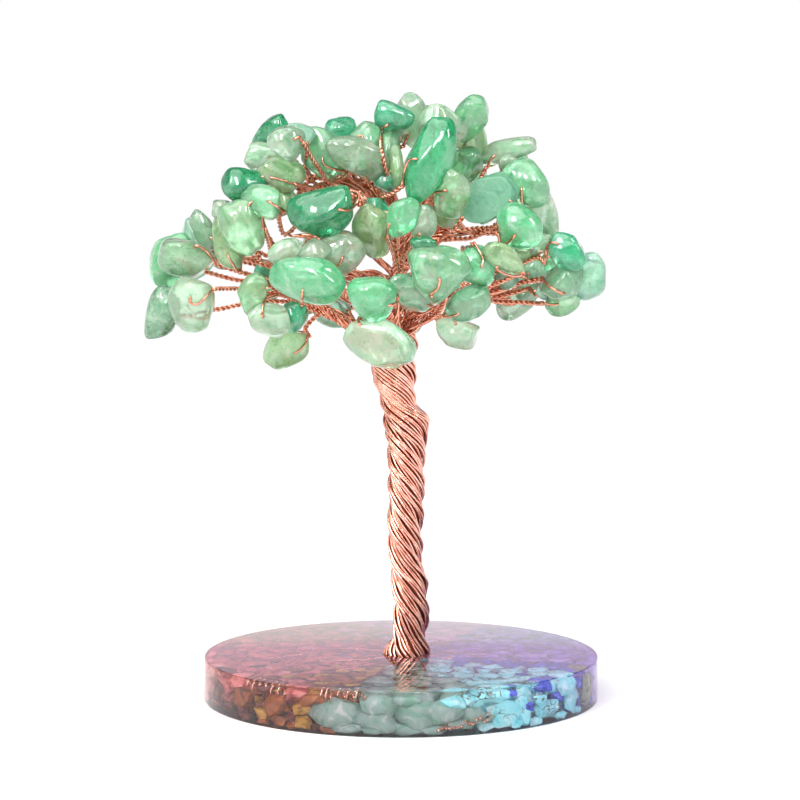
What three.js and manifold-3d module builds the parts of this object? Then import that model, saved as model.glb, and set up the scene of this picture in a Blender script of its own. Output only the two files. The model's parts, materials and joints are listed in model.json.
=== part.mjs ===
import * as THREE from 'three';
import { mergeVertices } from 'three/addons/utils/BufferGeometryUtils.js';
import Module from 'manifold-3d';

// Gemstone tree: green stone chips on a tree of twisted copper wire, cast into a resin disc.
// Millimetres, +Z up. The origin is the middle of the disc's underside, and the display side
// faces -Y.

// The disc
const DISC_RADIUS = 40;
const DISC_THICKNESS = 8.7;
const DISC_EDGE_BEVEL = 0.5;
const DISC_SIDES = 40;

// The trunk: its roots go down into the resin, and its strands lie in twisted bundles
const TRUNK_RADIUS = 3.3;
const ROOT_DEPTH = 3;
const BUNDLES = 4;
const BUNDLE_RELIEF = 0.4;
const TURN_AT_FOOT = 11.5;
const TURN_AT_FORK = 18;

// The twigs, each a pair of strands twisted together, and how far one reaches into its chip
const TWIG_DIAMETER = 1.0;
const TWIG_IN_CHIP = 1.8;

// The chips: thickness as a share of width, and how deep two touching chips meet
const CHIP_THICKNESS_SHARE = 0.82;
const CHIP_CONTACT = 1.1;
const MOST_CHIP_TILT = THREE.MathUtils.degToRad(34);

// Space between pieces
const CLEARANCE = 0.3;

// The layout is written as it is seen from an eye point in front of the tree, on the upright
// plane through the trunk: how far right, how far up from the resin, and how deep behind that
// plane. A nearer thing has a negative depth.
const EYE = new THREE.Vector3(-0.23, -500, 92.6);

// The trunk's centre line and its radius as a share of TRUNK_RADIUS: up, right, share
const TRUNK = [
  [0, 1.2, 1.3], [4, 1.7, 0.98], [8, 2.1, 1.0], [14, 1.8, 1.0], [20, 0.9, 0.94],
  [26, 0.8, 0.98], [33, 1.1, 1.02], [40, 1.1, 1.03], [45, 1.1, 1.2], [48, 1.0, 1.32],
  [51.5, -0.6, 0.95], [56, -1.3, 1.22], [60, -1.6, 1.3], [65, -0.9, 1.2], [70, -0.8, 0.85],
];

// The limbs, each from the trunk outwards: radius at both ends, then right, up, depth of each
// point
const LIMBS = {
  stem: [2.4, 0.8, [
    [-0.8, 66, 0], [-1.2, 74, 0], [0.3, 80, -1], [0.8, 85.5, -1], [-1.5, 91, -2],
    [-2.2, 95.3, -3], [-3.3, 99.6, -4],
  ]],
  left: [1.6, 0.9, [
    [-1.2, 72, 0], [-5, 76.6, -2], [-10, 77.1, -4], [-18, 78.4, -5], [-27, 79.2, -7],
  ]],
  left_middle: [1.0, 0.7, [
    [-1.6, 77, -1], [-7, 82.5, -5], [-16.9, 85, -9], [-27, 84.6, -10],
  ]],
  left_low: [1.8, 0.8, [
    [-2.5, 57, 0], [-6.5, 63.5, -2], [-11, 67.5, -4], [-17, 71.2, -5], [-26.5, 76, -8],
  ]],
  left_high: [1.5, 0.8, [
    [0.6, 83, -1], [-3.5, 90.5, -3], [-8, 94.6, -4], [-13.8, 95.3, -6], [-20, 95, -7],
  ]],
  front_left: [1.5, 0.8, [
    [-1.6, 62, -1], [-6, 69, -8], [-11, 74, -14], [-16, 77.5, -17],
  ]],
  front: [1.6, 0.8, [
    [-0.8, 62, -1], [-1.5, 70, -10], [-0.8, 76, -16], [-1.2, 82, -17],
  ]],
  front_right: [1.4, 0.8, [
    [0.4, 64, -1], [5, 70, -8], [10, 74, -13], [15, 76, -14],
  ]],
  right: [1.7, 0.8, [
    [-0.4, 63, 0], [3, 69.3, -1], [10, 72.5, -3], [17.7, 73.3, -4], [28.5, 76.3, -5],
  ]],
  right_low: [1.0, 0.7, [
    [7, 71.4, -2], [12, 72, -2], [20, 72.5, -2], [28.5, 71.6, -2],
  ]],
  right_high: [1.4, 0.8, [
    [0.5, 79, -1], [7, 84.8, -4], [13, 86, -6], [19, 86.3, -8],
  ]],
  right_top: [1.3, 0.8, [
    [0.8, 84, -1], [3.6, 91, -6], [5.2, 97, -10],
  ]],
  back_left: [1.6, 0.8, [
    [-1, 64, 1], [-8, 71, 10], [-18, 76, 13], [-30, 79, 7],
  ]],
  back_right: [1.6, 0.8, [
    [0.4, 66, 2], [7, 75, 10], [15, 77, 14], [24.5, 80, 12],
  ]],
  back: [1.5, 0.8, [
    [-0.8, 66, 1], [-1, 75, 12], [0, 83, 18],
  ]],
  back_high_left: [1.3, 0.8, [
    [0.4, 81, 0], [-6, 90, 7], [-13, 96, 8], [-20, 96.5, 5],
  ]],
  back_high_right: [1.3, 0.8, [
    [0.8, 83, 0], [6, 92, 10], [13, 95, 12], [20, 93, 8],
  ]],
};

// The stone's tints
const TINTS = {
  emerald: '#1f8f5f', deep: '#2c7a58', teal: '#4aa383', bright: '#5fcb97', mint: '#7fcda4',
  spring: '#97d9a8', pale: '#b4dfc2', aqua: '#a5dcc9', sage: '#86b79a', olive: '#9cb795',
  grey: '#a9beb0', streaked: '#a7c8ae', moss: '#5d8d72',
};

// The chips, in clumps of chips that touch. Each clump names its limb. A chip gives right, up,
// half length, half width, roll of its long axis in degrees, depth and tint. Instead of a depth,
// a chip that leans on one of its clump is before or behind it. A chip with a clear shape of its
// own also gives how much it narrows towards the way its long axis points, less than nothing
// where it widens, and how far its ends bow to the left of that way, both as a share.
const CLUMPS = {
  top_left_1: ['left_high', [
    [-28.3, 101.3, 3.6, 2.8, 20, -7, 'pale'],
    [-26.1, 105.6, 4.2, 2.7, 35, 'behind', 'deep', -0.4, 0.1],
  ]],
  top_left_2: ['left_high', [
    [-28, 92, 4.3, 3.1, -25, -19, 'mint', -0.2, 0],
    [-31.3, 95.5, 4.8, 3.0, 8, 'behind', 'deep'],
  ]],
  top_left_3: ['left_high', [
    [-22.8, 103.5, 3.9, 3.4, 40, -18, 'grey'],
    [-20.4, 104.9, 3.4, 2.6, 20, 'behind', 'aqua'],
  ]],
  top_left_4: ['left_high', [
    [-24.3, 97.3, 4.5, 3.8, 150, -13, 'olive'],
    [-23.3, 91.6, 2.6, 2.6, 0, 'behind', 'olive'],
  ]],
  top_left_5: ['left_high', [
    [-15.8, 102.1, 5.7, 4.2, 110, -10, 'mint', 0.38, 0],
    [-9.2, 100.8, 6.2, 3.9, -25, 'before', 'streaked', -0.45, 0],
    [-12.2, 105.6, 3.9, 3.2, 10, 'behind', 'teal'],
    [-7, 104.8, 3.6, 2.8, 60, 'behind', 'mint'],
  ]],
  left_1: ['left_middle', [
    [-32, 86.9, 5.9, 4.6, 105, -18, 'spring', -0.15, 0],
    [-35, 83.8, 5.6, 2.7, 110, 'behind', 'olive'],
    [-35.8, 90.1, 2.3, 2.3, 0, 'behind', 'grey'],
  ]],
  left_2: ['left', [
    [-39.8, 86.1, 4.3, 2.4, 115, -3, 'grey'],
    [-40.8, 84.6, 3.8, 3.8, 0, 'behind', 'aqua'],
  ]],
  left_3: ['left', [
    [-43.2, 80.5, 5.5, 3.8, -18, -11, 'streaked', 0.25, 0.1],
    [-46, 80.3, 5.8, 4.2, 80, 'behind', 'mint'],
  ]],
  left_4: ['left_low', [
    [-42.3, 71.3, 5.8, 4.4, 95, -17, 'pale', -0.12, 0],
    [-48, 69.1, 5.6, 3.4, 240, 'behind', 'moss'],
  ]],
  left_5: ['left_low', [
    [-27, 68.1, 4.3, 3.4, -10, -20, 'pale', -0.15, -0.2],
    [-30, 73.3, 4.1, 3.0, 70, 'behind', 'spring', -0.35, 0],
  ]],
  left_6: ['left_low', [
    [-21.3, 69, 3.0, 2.7, 30, -14, 'teal'],
  ]],
  left_7: ['left_low', [
    [-23.7, 62, 4.9, 3.6, 225, -8, 'olive', 0.38, 0],
  ]],
  middle_1: ['left_high', [
    [-15.8, 90.2, 7.0, 4.7, 15, -26, 'deep', 0.05, 0.5],
  ]],
  middle_2: ['front_left', [
    [-19.3, 76.1, 7.6, 4.4, -10, -30, 'bright', -0.1, -0.1],
    [-22.8, 81.2, 3.6, 3.2, 60, 'behind', 'pale'],
    [-17.3, 81.6, 3.4, 2.8, 0, 'behind', 'grey'],
    [-12.3, 81.8, 5.0, 4.2, 20, 'behind', 'grey'],
  ]],
  middle_3: ['front', [
    [-5.5, 86.1, 5.6, 3.9, 100, -20, 'olive', -0.15, 0],
    [-4.5, 90.5, 3.0, 1.8, -40, 'behind', 'teal'],
  ]],
  middle_4: ['front', [
    [-5.6, 71.6, 4.6, 4.3, 265, -31, 'bright', 0.5, 0],
    [-4.6, 63.6, 7.4, 4.5, -28, 'behind', 'pale', -0.12, 0],
  ]],
  middle_5: ['front_right', [
    [6.9, 77.6, 6.4, 5.1, -30, -28, 'mint', -0.3, -0.15],
    [1.8, 73.6, 4.6, 3.5, 145, 'behind', 'sage'],
    [4.5, 83.3, 2.8, 1.7, 0, 'behind', 'deep'],
  ]],
  middle_6: ['front_right', [
    [15, 78.7, 4.2, 3.6, -60, -24, 'bright', 0.1, 0],
    [13.6, 71.5, 4.6, 3.5, 210, 'behind', 'sage', 0.3, 0],
    [21, 80.2, 4.7, 2.5, -38, 'behind', 'olive', 0.3, 0],
  ]],
  middle_7: ['front', [
    [0.3, 88.7, 4.2, 3.2, 240, -27, 'bright', 0.4, 0],
    [4.6, 87.8, 3.3, 2.5, 80, 'behind', 'grey'],
  ]],
  middle_8: ['right_high', [
    [10.2, 93.1, 5.6, 3.5, 85, -20, 'spring', -0.1, 0],
    [8.5, 88.9, 3.4, 2.6, -20, 'behind', 'olive'],
  ]],
  middle_9: ['right', [
    [11.2, 65.6, 4.9, 3.1, -18, -8, 'pale', -0.32, 0.4],
  ]],
  top_1: ['stem', [
    [-1.5, 108.7, 4.4, 2.7, -12, -8, 'teal', 0.3, 0.1],
    [2, 108.1, 5.2, 3.3, 90, 'behind', 'pale'],
    [-2.4, 103.5, 4.2, 2.1, 80, 'behind', 'mint'],
  ]],
  top_2: ['right_top', [
    [5.6, 99.8, 8.9, 4.5, 250, -22, 'emerald', 0.3, 0.12],
  ]],
  top_3: ['stem', [
    [-1, 98.9, 4.2, 1.7, 95, -11, 'olive'],
    [-3, 95.8, 2.5, 2.3, 0, 'behind', 'teal'],
  ]],
  top_4: ['right_top', [
    [8.5, 107.1, 4.8, 3.4, -25, -10, 'pale'],
    [14, 108.8, 5.0, 3.4, 55, 'behind', 'mint', 0.15, 0],
    [14, 105.1, 5.3, 3.2, 90, 'behind', 'olive'],
    [12.8, 99.1, 4.0, 3.3, 60, 'before', 'mint'],
    [9, 99.3, 2.0, 2.0, 0, 'behind', 'spring'],
  ]],
  right_1: ['right_high', [
    [18, 92.8, 6.2, 4.3, 30, -15, 'sage', -0.05, 0],
  ]],
  right_2: ['right_high', [
    [21.3, 102.1, 5.6, 2.5, 195, -4, 'pale', 0.15, 0.1],
    [21.6, 99.5, 1.9, 1.9, 0, 'before', 'grey'],
  ]],
  right_3: ['right_high', [
    [25, 95.3, 5.0, 4.1, -50, -8, 'mint', 0.1, 0],
    [28.6, 89.3, 4.9, 3.0, -70, 'behind', 'pale'],
  ]],
  right_4: ['right_high', [
    [24, 86.6, 5.2, 4.3, -20, -20, 'bright', 0.25, 0.1],
  ]],
  right_5: ['right', [
    [33, 82, 4.6, 3.2, -35, -14, 'teal', -0.25, 0],
    [32.7, 76.3, 4.6, 3.6, 50, 'behind', 'sage'],
    [37.2, 76.9, 4.8, 4.2, 40, 'behind', 'aqua'],
    [32.3, 71.7, 3.6, 2.4, 0, 'behind', 'spring', 0.1, 0.5],
    [29, 73.7, 1.8, 1.6, 0, 'behind', 'aqua'],
  ]],
  right_6: ['right_low', [
    [23.5, 71.7, 4.3, 2.6, 25, 3, 'grey'],
    [25.5, 74.4, 3.2, 2.6, 0, 'behind', 'sage'],
    [26.5, 78.2, 3.0, 2.5, 90, 'behind', 'sage'],
  ]],
  right_7: ['right', [
    [24.6, 81.3, 2.8, 1.8, 0, -9, 'olive'],
    [28.3, 83.3, 2.8, 2.0, 20, 'behind', 'pale'],
  ]],
  right_8: ['right', [
    [21.3, 76.3, 2.2, 2.0, 0, -7, 'sage'],
  ]],
  under_1: ['left_low', [
    [-14, 69.1, 3.6, 2.6, -40, 4, 'aqua'],
    [-12, 69.9, 2.0, 2.0, 0, 'behind', 'aqua'],
    [-18, 70.9, 1.9, 1.6, 0, 'behind', 'grey'],
  ]],
  under_2: ['back', [
    [2.6, 67.6, 2.6, 1.9, 35, 14, 'aqua'],
  ]],
  under_3: ['back_left', [
    [-27.5, 77.5, 2.7, 2.2, 90, 4, 'teal'],
    [-27, 74, 2.7, 2.1, 90, 'behind', 'teal'],
  ]],
  back_1: ['back_left', [
    [-43, 79.5, 5.4, 4.0, 20, 9, 'mint'],
    [-40.5, 84.5, 4.2, 3.2, 100, 'behind', 'pale'],
  ]],
  back_2: ['back_left', [
    [-32.5, 86, 5.2, 4.0, 100, 12, 'bright'],
    [-34.5, 81.5, 4.6, 3.2, 30, 'behind', 'sage'],
  ]],
  back_3: ['back_high_left', [
    [-24, 97, 4.6, 3.8, 60, 10, 'mint'],
    [-27.8, 100.2, 3.9, 3.0, 120, 'behind', 'aqua'],
  ]],
  back_4: ['back_high_left', [
    [-13.5, 102.5, 5.0, 4.0, 30, 10, 'teal'],
    [-19, 104, 3.8, 3.0, 0, 'before', 'pale'],
  ]],
  back_5: ['back_high_left', [
    [-16, 90.5, 5.4, 4.0, 15, 16, 'deep'],
    [-13, 96, 3.5, 2.6, 120, 'behind', 'teal'],
  ]],
  back_6: ['back_left', [
    [-20, 76.5, 5.6, 4.0, -10, 24, 'spring'],
    [-22.5, 81, 4.0, 3.0, 60, 'behind', 'grey'],
  ]],
  back_7: ['back_left', [
    [-12.5, 81.5, 4.8, 3.8, 60, 28, 'bright'],
    [-17, 82, 3.4, 3.0, 0, 'before', 'pale'],
  ]],
  back_8: ['back', [
    [-5.5, 86.5, 5.0, 3.8, 100, 29, 'mint'],
    [-1, 89, 4.0, 3.0, 20, 'behind', 'olive'],
  ]],
  back_9: ['back', [
    [-5.5, 72.5, 4.4, 3.8, 0, 27, 'pale'],
    [-4.5, 65.5, 5.0, 3.4, -28, 'before', 'mint'],
  ]],
  back_10: ['back', [
    [2.5, 74, 4.6, 3.4, -35, 22, 'teal'],
    [8.5, 76, 4.6, 4.0, 30, 'behind', 'bright'],
  ]],
  back_11: ['back_right', [
    [15, 79, 4.2, 3.4, -60, 29, 'pale'],
    [14, 73.4, 4.2, 3.4, 30, 'before', 'mint'],
  ]],
  back_12: ['back_right', [
    [21, 80.5, 4.0, 2.6, -38, 20, 'sage'],
    [24, 86, 4.6, 3.8, -20, 'before', 'mint'],
  ]],
  back_13: ['back_right', [
    [32, 79.5, 4.8, 3.6, 60, 13, 'bright'],
    [35.5, 75.5, 4.2, 3.4, 0, 'before', 'pale'],
  ]],
  back_14: ['back_high_right', [
    [24.5, 95.5, 4.6, 3.8, -50, 12, 'deep'],
    [22.5, 100.6, 4.4, 2.8, 110, 'before', 'mint'],
  ]],
  back_15: ['back_high_right', [
    [17.5, 92.5, 5.2, 3.8, 30, 22, 'mint'],
    [14, 97.6, 4.4, 3.4, 110, 'before', 'spring'],
  ]],
  back_16: ['back_high_right', [
    [10, 93, 5.0, 3.4, 85, 28, 'teal'],
    [8.5, 87.5, 3.6, 2.8, -20, 'behind', 'pale'],
  ]],
  back_17: ['back_high_right', [
    [5.5, 100, 5.4, 4.0, 68, 20, 'pale'],
    [9, 105.5, 4.6, 3.4, -25, 'before', 'mint'],
  ]],
  back_18: ['stem', [
    [1.5, 107.5, 4.6, 3.2, 80, 4, 'sage'],
    [6.8, 107.5, 4.4, 3.4, 0, 'behind', 'teal'],
  ]],
  back_19: ['back_high_left', [
    [-8, 101.5, 5.2, 3.4, -25, 21, 'bright'],
    [-5.5, 96.5, 3.4, 2.6, 80, 'behind', 'mint'],
  ]],
};

const wasm = await Module();
wasm.setup();

// A closed geometry as a solid
function solidOf(geometry) {
  const bare = geometry.clone();
  bare.deleteAttribute('normal');
  bare.deleteAttribute('uv');
  const merged = mergeVertices(bare);
  const corners = merged.index.array;
  const triangles = [];
  for (let i = 0; i < corners.length; i += 3) {
    const [a, b, c] = corners.slice(i, i + 3);
    if (a !== b && b !== c && c !== a) {
      triangles.push(a, b, c);
    }
  }
  return new wasm.Manifold(new wasm.Mesh({
    numProp: 3,
    vertProperties: merged.attributes.position.array,
    triVerts: new Uint32Array(triangles),
  }));
}

// A solid as a geometry
function geometryOf(solid) {
  const mesh = solid.getMesh();
  const geometry = new THREE.BufferGeometry();
  geometry.setAttribute('position', new THREE.BufferAttribute(mesh.vertProperties, 3));
  geometry.setIndex(new THREE.BufferAttribute(mesh.triVerts, 1));
  geometry.computeVertexNormals();
  return geometry;
}

// A repeatable number from 0 to 1 for each seed
function chance(seed) {
  const wave = Math.sin(seed * 12.9898) * 43758.5453;
  return wave - Math.floor(wave);
}

// How much longer a length is at a depth than it looks on the layout's plane
function reachAt(depth) {
  return 1 - depth / EYE.y;
}

// The place that the layout gives as right, up and depth
function sighted(right, up, depth) {
  const reach = reachAt(depth);
  return new THREE.Vector3(
    EYE.x + (right - EYE.x) * reach,
    depth,
    EYE.z + (up - EYE.z) * reach,
  );
}

// The value of the trunk's rows at a height: column 1 is the centre line, column 2 the radius
function trunkAt(up, column) {
  const last = TRUNK.length - 1;
  const height = THREE.MathUtils.clamp(up, TRUNK[0][0], TRUNK[last][0]);
  const above = Math.max(1, TRUNK.findIndex((row) => row[0] >= height));
  const [low, high] = [TRUNK[above - 1], TRUNK[above]];
  const share = (height - low[0]) / (high[0] - low[0]);
  return THREE.MathUtils.lerp(low[column], high[column], THREE.MathUtils.smoothstep(share, 0, 1));
}

// How far the trunk's bundles have turned at a height, in degrees
function trunkTurn(up) {
  const top = TRUNK[TRUNK.length - 1][0];
  return -up * (TURN_AT_FOOT + ((TURN_AT_FORK - TURN_AT_FOOT) * up) / (2 * top));
}

// A round bar along a curve, whose radius may change with the place along it and the side
function bar(curve, sides, steps, radiusAt) {
  const frames = curve.computeFrenetFrames(steps, false);
  const geometry = new THREE.CylinderGeometry(1, 1, 1, sides, steps);
  const position = geometry.attributes.position;
  const place = new THREE.Vector3();
  for (let i = 0; i < position.count; i += 1) {
    const share = position.getY(i) + 0.5;
    const ring = Math.round(share * steps);
    const radius = radiusAt(share, Math.atan2(position.getX(i), position.getZ(i)));
    curve.getPointAt(share, place);
    place.addScaledVector(frames.normals[ring], position.getX(i) * radius);
    place.addScaledVector(frames.binormals[ring], -position.getZ(i) * radius);
    position.setXYZ(i, place.x, place.y, place.z);
  }
  return solidOf(geometry);
}

// The trunk, grown by some space on every side: bundles are ridges that wind round it
function trunkSolid(space) {
  const top = TRUNK[TRUNK.length - 1][0];
  const bottom = -ROOT_DEPTH - space;
  const sides = 2 * BUNDLES;
  const steps = Math.ceil(Math.abs(trunkTurn(top)) / (360 / sides));
  const geometry = new THREE.CylinderGeometry(1, 1, 1, sides, steps);
  const position = geometry.attributes.position;
  for (let i = 0; i < position.count; i += 1) {
    const up = THREE.MathUtils.lerp(bottom, top, position.getY(i) + 0.5);
    const round = Math.hypot(position.getX(i), position.getZ(i));
    const side = Math.round((Math.atan2(position.getX(i), position.getZ(i)) / Math.PI) * BUNDLES);
    const relief = side % 2 === 0 ? BUNDLE_RELIEF : -BUNDLE_RELIEF;
    const radius = round * (TRUNK_RADIUS * trunkAt(up, 2) + relief + space);
    const angle = (side * Math.PI) / BUNDLES + THREE.MathUtils.degToRad(trunkTurn(up));
    position.setXYZ(i, trunkAt(up, 1) + radius * Math.cos(angle), radius * Math.sin(angle), up);
  }
  return solidOf(geometry);
}

// The curve that a limb follows
function limbCurve(name) {
  const points = LIMBS[name][2];
  return new THREE.CatmullRomCurve3(points.map((point) => sighted(...point)));
}

// A limb, grown by some space on every side
function limbSolid(name, space) {
  const [start, end] = LIMBS[name];
  const steps = LIMBS[name][2].length - 1;
  return bar(limbCurve(name), 5, steps, (share) => THREE.MathUtils.lerp(start, end, share) + space);
}

// A chip's place, turn and half sizes. It nods and leans a little, and its seen outline stays.
function chipAt(row, seed, depth) {
  const [right, up, halfLength, halfWidth, roll] = row;
  const reach = reachAt(depth);
  const flat = CHIP_THICKNESS_SHARE * (0.9 + 0.3 * chance(seed + 0.1));
  const nod = MOST_CHIP_TILT * (2 * chance(seed + 0.4) - 1);
  const lean = MOST_CHIP_TILT * (2 * chance(seed + 0.5) - 1);
  const width = (halfWidth * reach) / Math.hypot(Math.cos(lean), flat * Math.sin(lean));
  const thickness = width * flat;
  const seenLength = Math.max(halfLength * reach, thickness);
  const length = Math.sqrt(seenLength ** 2 - (thickness * Math.sin(nod)) ** 2) / Math.cos(nod);
  return {
    seed,
    depth,
    narrowing: row[7] ?? 0.08 + 0.3 * chance(seed + 0.3),
    bend: row[8] ?? 0.35 * (chance(seed + 0.6) - 0.5),
    centre: sighted(right, up, depth),
    half: [length, width, thickness],
    turn: new THREE.Matrix4().makeRotationY(THREE.MathUtils.degToRad(-roll))
      .multiply(new THREE.Matrix4().makeRotationX(Math.PI / 2))
      .multiply(new THREE.Matrix4().makeRotationY(nod))
      .multiply(new THREE.Matrix4().makeRotationX(lean)),
  };
}

// How far a chip reaches from its centre along a direction
function chipReach(chip, direction) {
  const local = direction.clone().applyMatrix4(chip.turn.clone().transpose());
  const [a, b, c] = chip.half;
  return 1 / Math.hypot(local.x / a, local.y / b, local.z / c);
}

// The space between two chips, below nothing where they meet deeper than they should
function spaceBetween(chip, other) {
  const across = other.centre.clone().sub(chip.centre);
  const direction = across.clone().normalize();
  const reaches = chipReach(chip, direction) + chipReach(other, direction);
  return across.length() - reaches + CHIP_CONTACT;
}

// A chip that leans on another, before or behind it, just deep enough to touch
function leaning(row, seed, clump) {
  const level = clump.map((other) => spaceBetween(chipAt(row, seed, other.depth), other));
  const carrier = clump[level.indexOf(Math.min(...level))];
  const way = row[5] === 'before' ? -1 : 1;
  let near = 0;
  let far = carrier.half[0] + row[2] * 2;
  for (let i = 0; i < 30; i += 1) {
    const middle = (near + far) / 2;
    const chip = chipAt(row, seed, carrier.depth + way * middle);
    if (spaceBetween(chip, carrier) < 0) {
      near = middle;
    } else {
      far = middle;
    }
  }
  return chipAt(row, seed, carrier.depth + way * near);
}

// The chips of a clump, the one on the twig first
function chipsOf(name, index) {
  const clump = [];
  CLUMPS[name][1].forEach((row, i) => {
    const seed = index * 7 + i + 1;
    clump.push(i === 0 ? chipAt(row, seed, row[5]) : leaning(row, seed, clump));
  });
  return clump;
}

// A tumbled chip: a boxy, slightly bent pebble that narrows to one end
function chipSolid(chip, space) {
  const [a, b, c] = chip.half.map((half) => half + space);
  const sides = Math.round(THREE.MathUtils.clamp(chip.half[0] + 1.4, 5, 7));
  const power = 2.2 + 0.7 * chance(chip.seed + 0.2);
  const geometry = new THREE.SphereGeometry(1.07, sides, 3);
  geometry.rotateX(Math.PI / 2);
  const position = geometry.attributes.position;
  const point = new THREE.Vector3();
  for (let i = 0; i < position.count; i += 1) {
    point.fromBufferAttribute(position, i);
    const round = Math.abs(point.x) ** power + Math.abs(point.y) ** power
      + Math.abs(point.z) ** power;
    point.multiplyScalar(round ** (-1 / power));
    const width = 1 - chip.narrowing * point.x;
    const bow = chip.bend * (point.x ** 2 - 0.35);
    point.set(a * point.x, b * (point.y * width + bow), c * point.z * width);
    point.applyMatrix4(chip.turn).add(chip.centre);
    position.setXYZ(i, point.x, point.y, point.z);
  }
  return solidOf(geometry);
}

// Solids joined into one
function joined(solids) {
  return solids.reduce((whole, solid) => whole.add(solid));
}

// The place on a limb where a twig leaves for a chip: near it, and heading its way
function twigRoot(limb, centre) {
  const curve = limbCurve(limb);
  const steps = LIMBS[limb][2].length - 1;
  let best = null;
  for (let step = 1; step <= steps; step += 1) {
    const heading = curve.getTangentAt(step / steps);
    const place = curve.getPointAt(step / steps).addScaledVector(heading, -TWIG_DIAMETER / 2);
    const across = centre.clone().sub(place);
    const cost = across.length() * (1.7 - heading.dot(across.clone().normalize()));
    if (best === null || cost < best.cost) {
      best = { cost, place, heading };
    }
  }
  return best;
}

// A twig from its limb to the inside of its chip, grown by some space on every side
function twigSolid(limb, chip, space) {
  const root = twigRoot(limb, chip.centre);
  const across = chip.centre.distanceTo(root.place);
  const bend = root.place.clone().addScaledVector(root.heading, across * 0.35);
  const inward = chip.centre.clone().sub(bend).normalize();
  const inside = Math.max(chipReach(chip, inward) - TWIG_IN_CHIP, 0) - space;
  const tip = chip.centre.clone().addScaledVector(inward, -inside);
  const curve = new THREE.QuadraticBezierCurve3(root.place, bend, tip);
  return bar(curve, 4, 2, () => TWIG_DIAMETER / 2 + space);
}

// The whole wire tree, grown by some space on every side
function wireSolid(clumps, space) {
  const limbs = Object.keys(LIMBS).map((name) => limbSolid(name, space));
  const twigs = clumps.map((clump) => twigSolid(clump.limb, clump.chips[0], space));
  return joined([trunkSolid(space), ...limbs, ...twigs]);
}

// The disc, with the socket that the roots fill
function discSolid() {
  const rim = DISC_RADIUS - DISC_EDGE_BEVEL;
  const top = DISC_THICKNESS - DISC_EDGE_BEVEL;
  const profile = [
    [0, 0], [rim, 0], [DISC_RADIUS, DISC_EDGE_BEVEL], [DISC_RADIUS, top],
    [rim, DISC_THICKNESS], [0, DISC_THICKNESS],
  ].map(([x, y]) => new THREE.Vector2(x, y));
  const disc = new THREE.LatheGeometry(profile, DISC_SIDES).rotateX(Math.PI / 2);
  return solidOf(disc).subtract(trunkSolid(CLEARANCE).translate([0, 0, DISC_THICKNESS]));
}

// Whether the boxes round two solids meet
function boxesMeet(solid, other) {
  const one = solid.boundingBox();
  const two = other.boundingBox();
  return [0, 1, 2].every((k) => one.min[k] < two.max[k] && two.min[k] < one.max[k]);
}

// A clump's solid, clear of the wire and of the clumps made before it
function clumpSolid(clump, wire, placed) {
  let solid = joined(clump.chips.map((chip) => chipSolid(chip, 0))).subtract(wire);
  placed.filter((other) => boxesMeet(solid, other)).forEach((other) => {
    solid = solid.subtract(other);
  });
  return solid;
}

function material(colour, roughness, metalness) {
  return new THREE.MeshStandardMaterial({ color: colour, roughness, metalness, flatShading: true });
}

function piece(name, solid, finish) {
  const mesh = new THREE.Mesh(geometryOf(solid), finish);
  mesh.name = name;
  return mesh;
}

function stoneTree() {
  const clumps = Object.keys(CLUMPS).map((name, index) => ({
    name,
    limb: CLUMPS[name][0],
    tint: CLUMPS[name][1][0][6],
    chips: chipsOf(name, index),
  }));
  const tree = new THREE.Group();
  tree.position.z = DISC_THICKNESS;
  tree.add(piece('wire_tree', wireSolid(clumps, 0), material('#b8734f', 0.35, 0.9)));
  const wire = wireSolid(clumps, CLEARANCE);
  const placed = [];
  clumps.forEach((clump) => {
    const solid = clumpSolid(clump, wire, placed);
    placed.push(joined(clump.chips.map((chip) => chipSolid(chip, CLEARANCE))));
    tree.add(piece(`chips_${clump.name}`, solid, material(TINTS[clump.tint], 0.25, 0)));
  });
  return tree;
}

const group = new THREE.Group();
group.add(piece('resin_base', discSolid(), material('#c9b9b4', 0.08, 0)));
group.add(stoneTree());

export default group;
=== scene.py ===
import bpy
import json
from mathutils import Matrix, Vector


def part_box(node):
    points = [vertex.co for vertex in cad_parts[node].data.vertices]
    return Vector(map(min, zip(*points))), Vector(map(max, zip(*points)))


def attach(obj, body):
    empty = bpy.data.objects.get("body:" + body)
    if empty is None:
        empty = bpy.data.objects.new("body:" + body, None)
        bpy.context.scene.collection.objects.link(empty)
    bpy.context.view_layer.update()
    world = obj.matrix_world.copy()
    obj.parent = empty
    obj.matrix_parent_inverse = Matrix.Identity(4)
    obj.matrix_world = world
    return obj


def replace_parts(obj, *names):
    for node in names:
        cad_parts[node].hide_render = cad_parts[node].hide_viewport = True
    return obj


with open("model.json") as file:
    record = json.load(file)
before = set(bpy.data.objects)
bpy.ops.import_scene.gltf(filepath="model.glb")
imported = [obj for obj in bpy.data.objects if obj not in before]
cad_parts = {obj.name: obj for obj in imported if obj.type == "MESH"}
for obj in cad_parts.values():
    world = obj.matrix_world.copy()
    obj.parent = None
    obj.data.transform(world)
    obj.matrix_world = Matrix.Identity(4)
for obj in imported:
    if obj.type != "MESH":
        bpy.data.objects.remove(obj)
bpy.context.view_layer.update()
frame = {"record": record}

import json
import math

import bmesh
import bpy
import numpy as np

# Gemstone tree: tumbled green stone chips on a tree of twisted copper wire, in a disc of clear
# resin with crushed stones cast into it. The layout is in millimetres, up from the resin's top,
# as in the CAD model. Blender's objects are in metres.
MM = 0.001

# The disc, read from its CAD node
DISC_LOW, DISC_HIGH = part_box("resin_base")
DISC_RADIUS = (DISC_HIGH.x - DISC_LOW.x) / 2 / MM
DISC_THICKNESS = DISC_HIGH.z / MM
DISC_EDGE_ROUND = 0.25
DISC_SIDES = 180

# Every strand of wire is a prism with this many sides
STRAND_SIDES = 6

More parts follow.
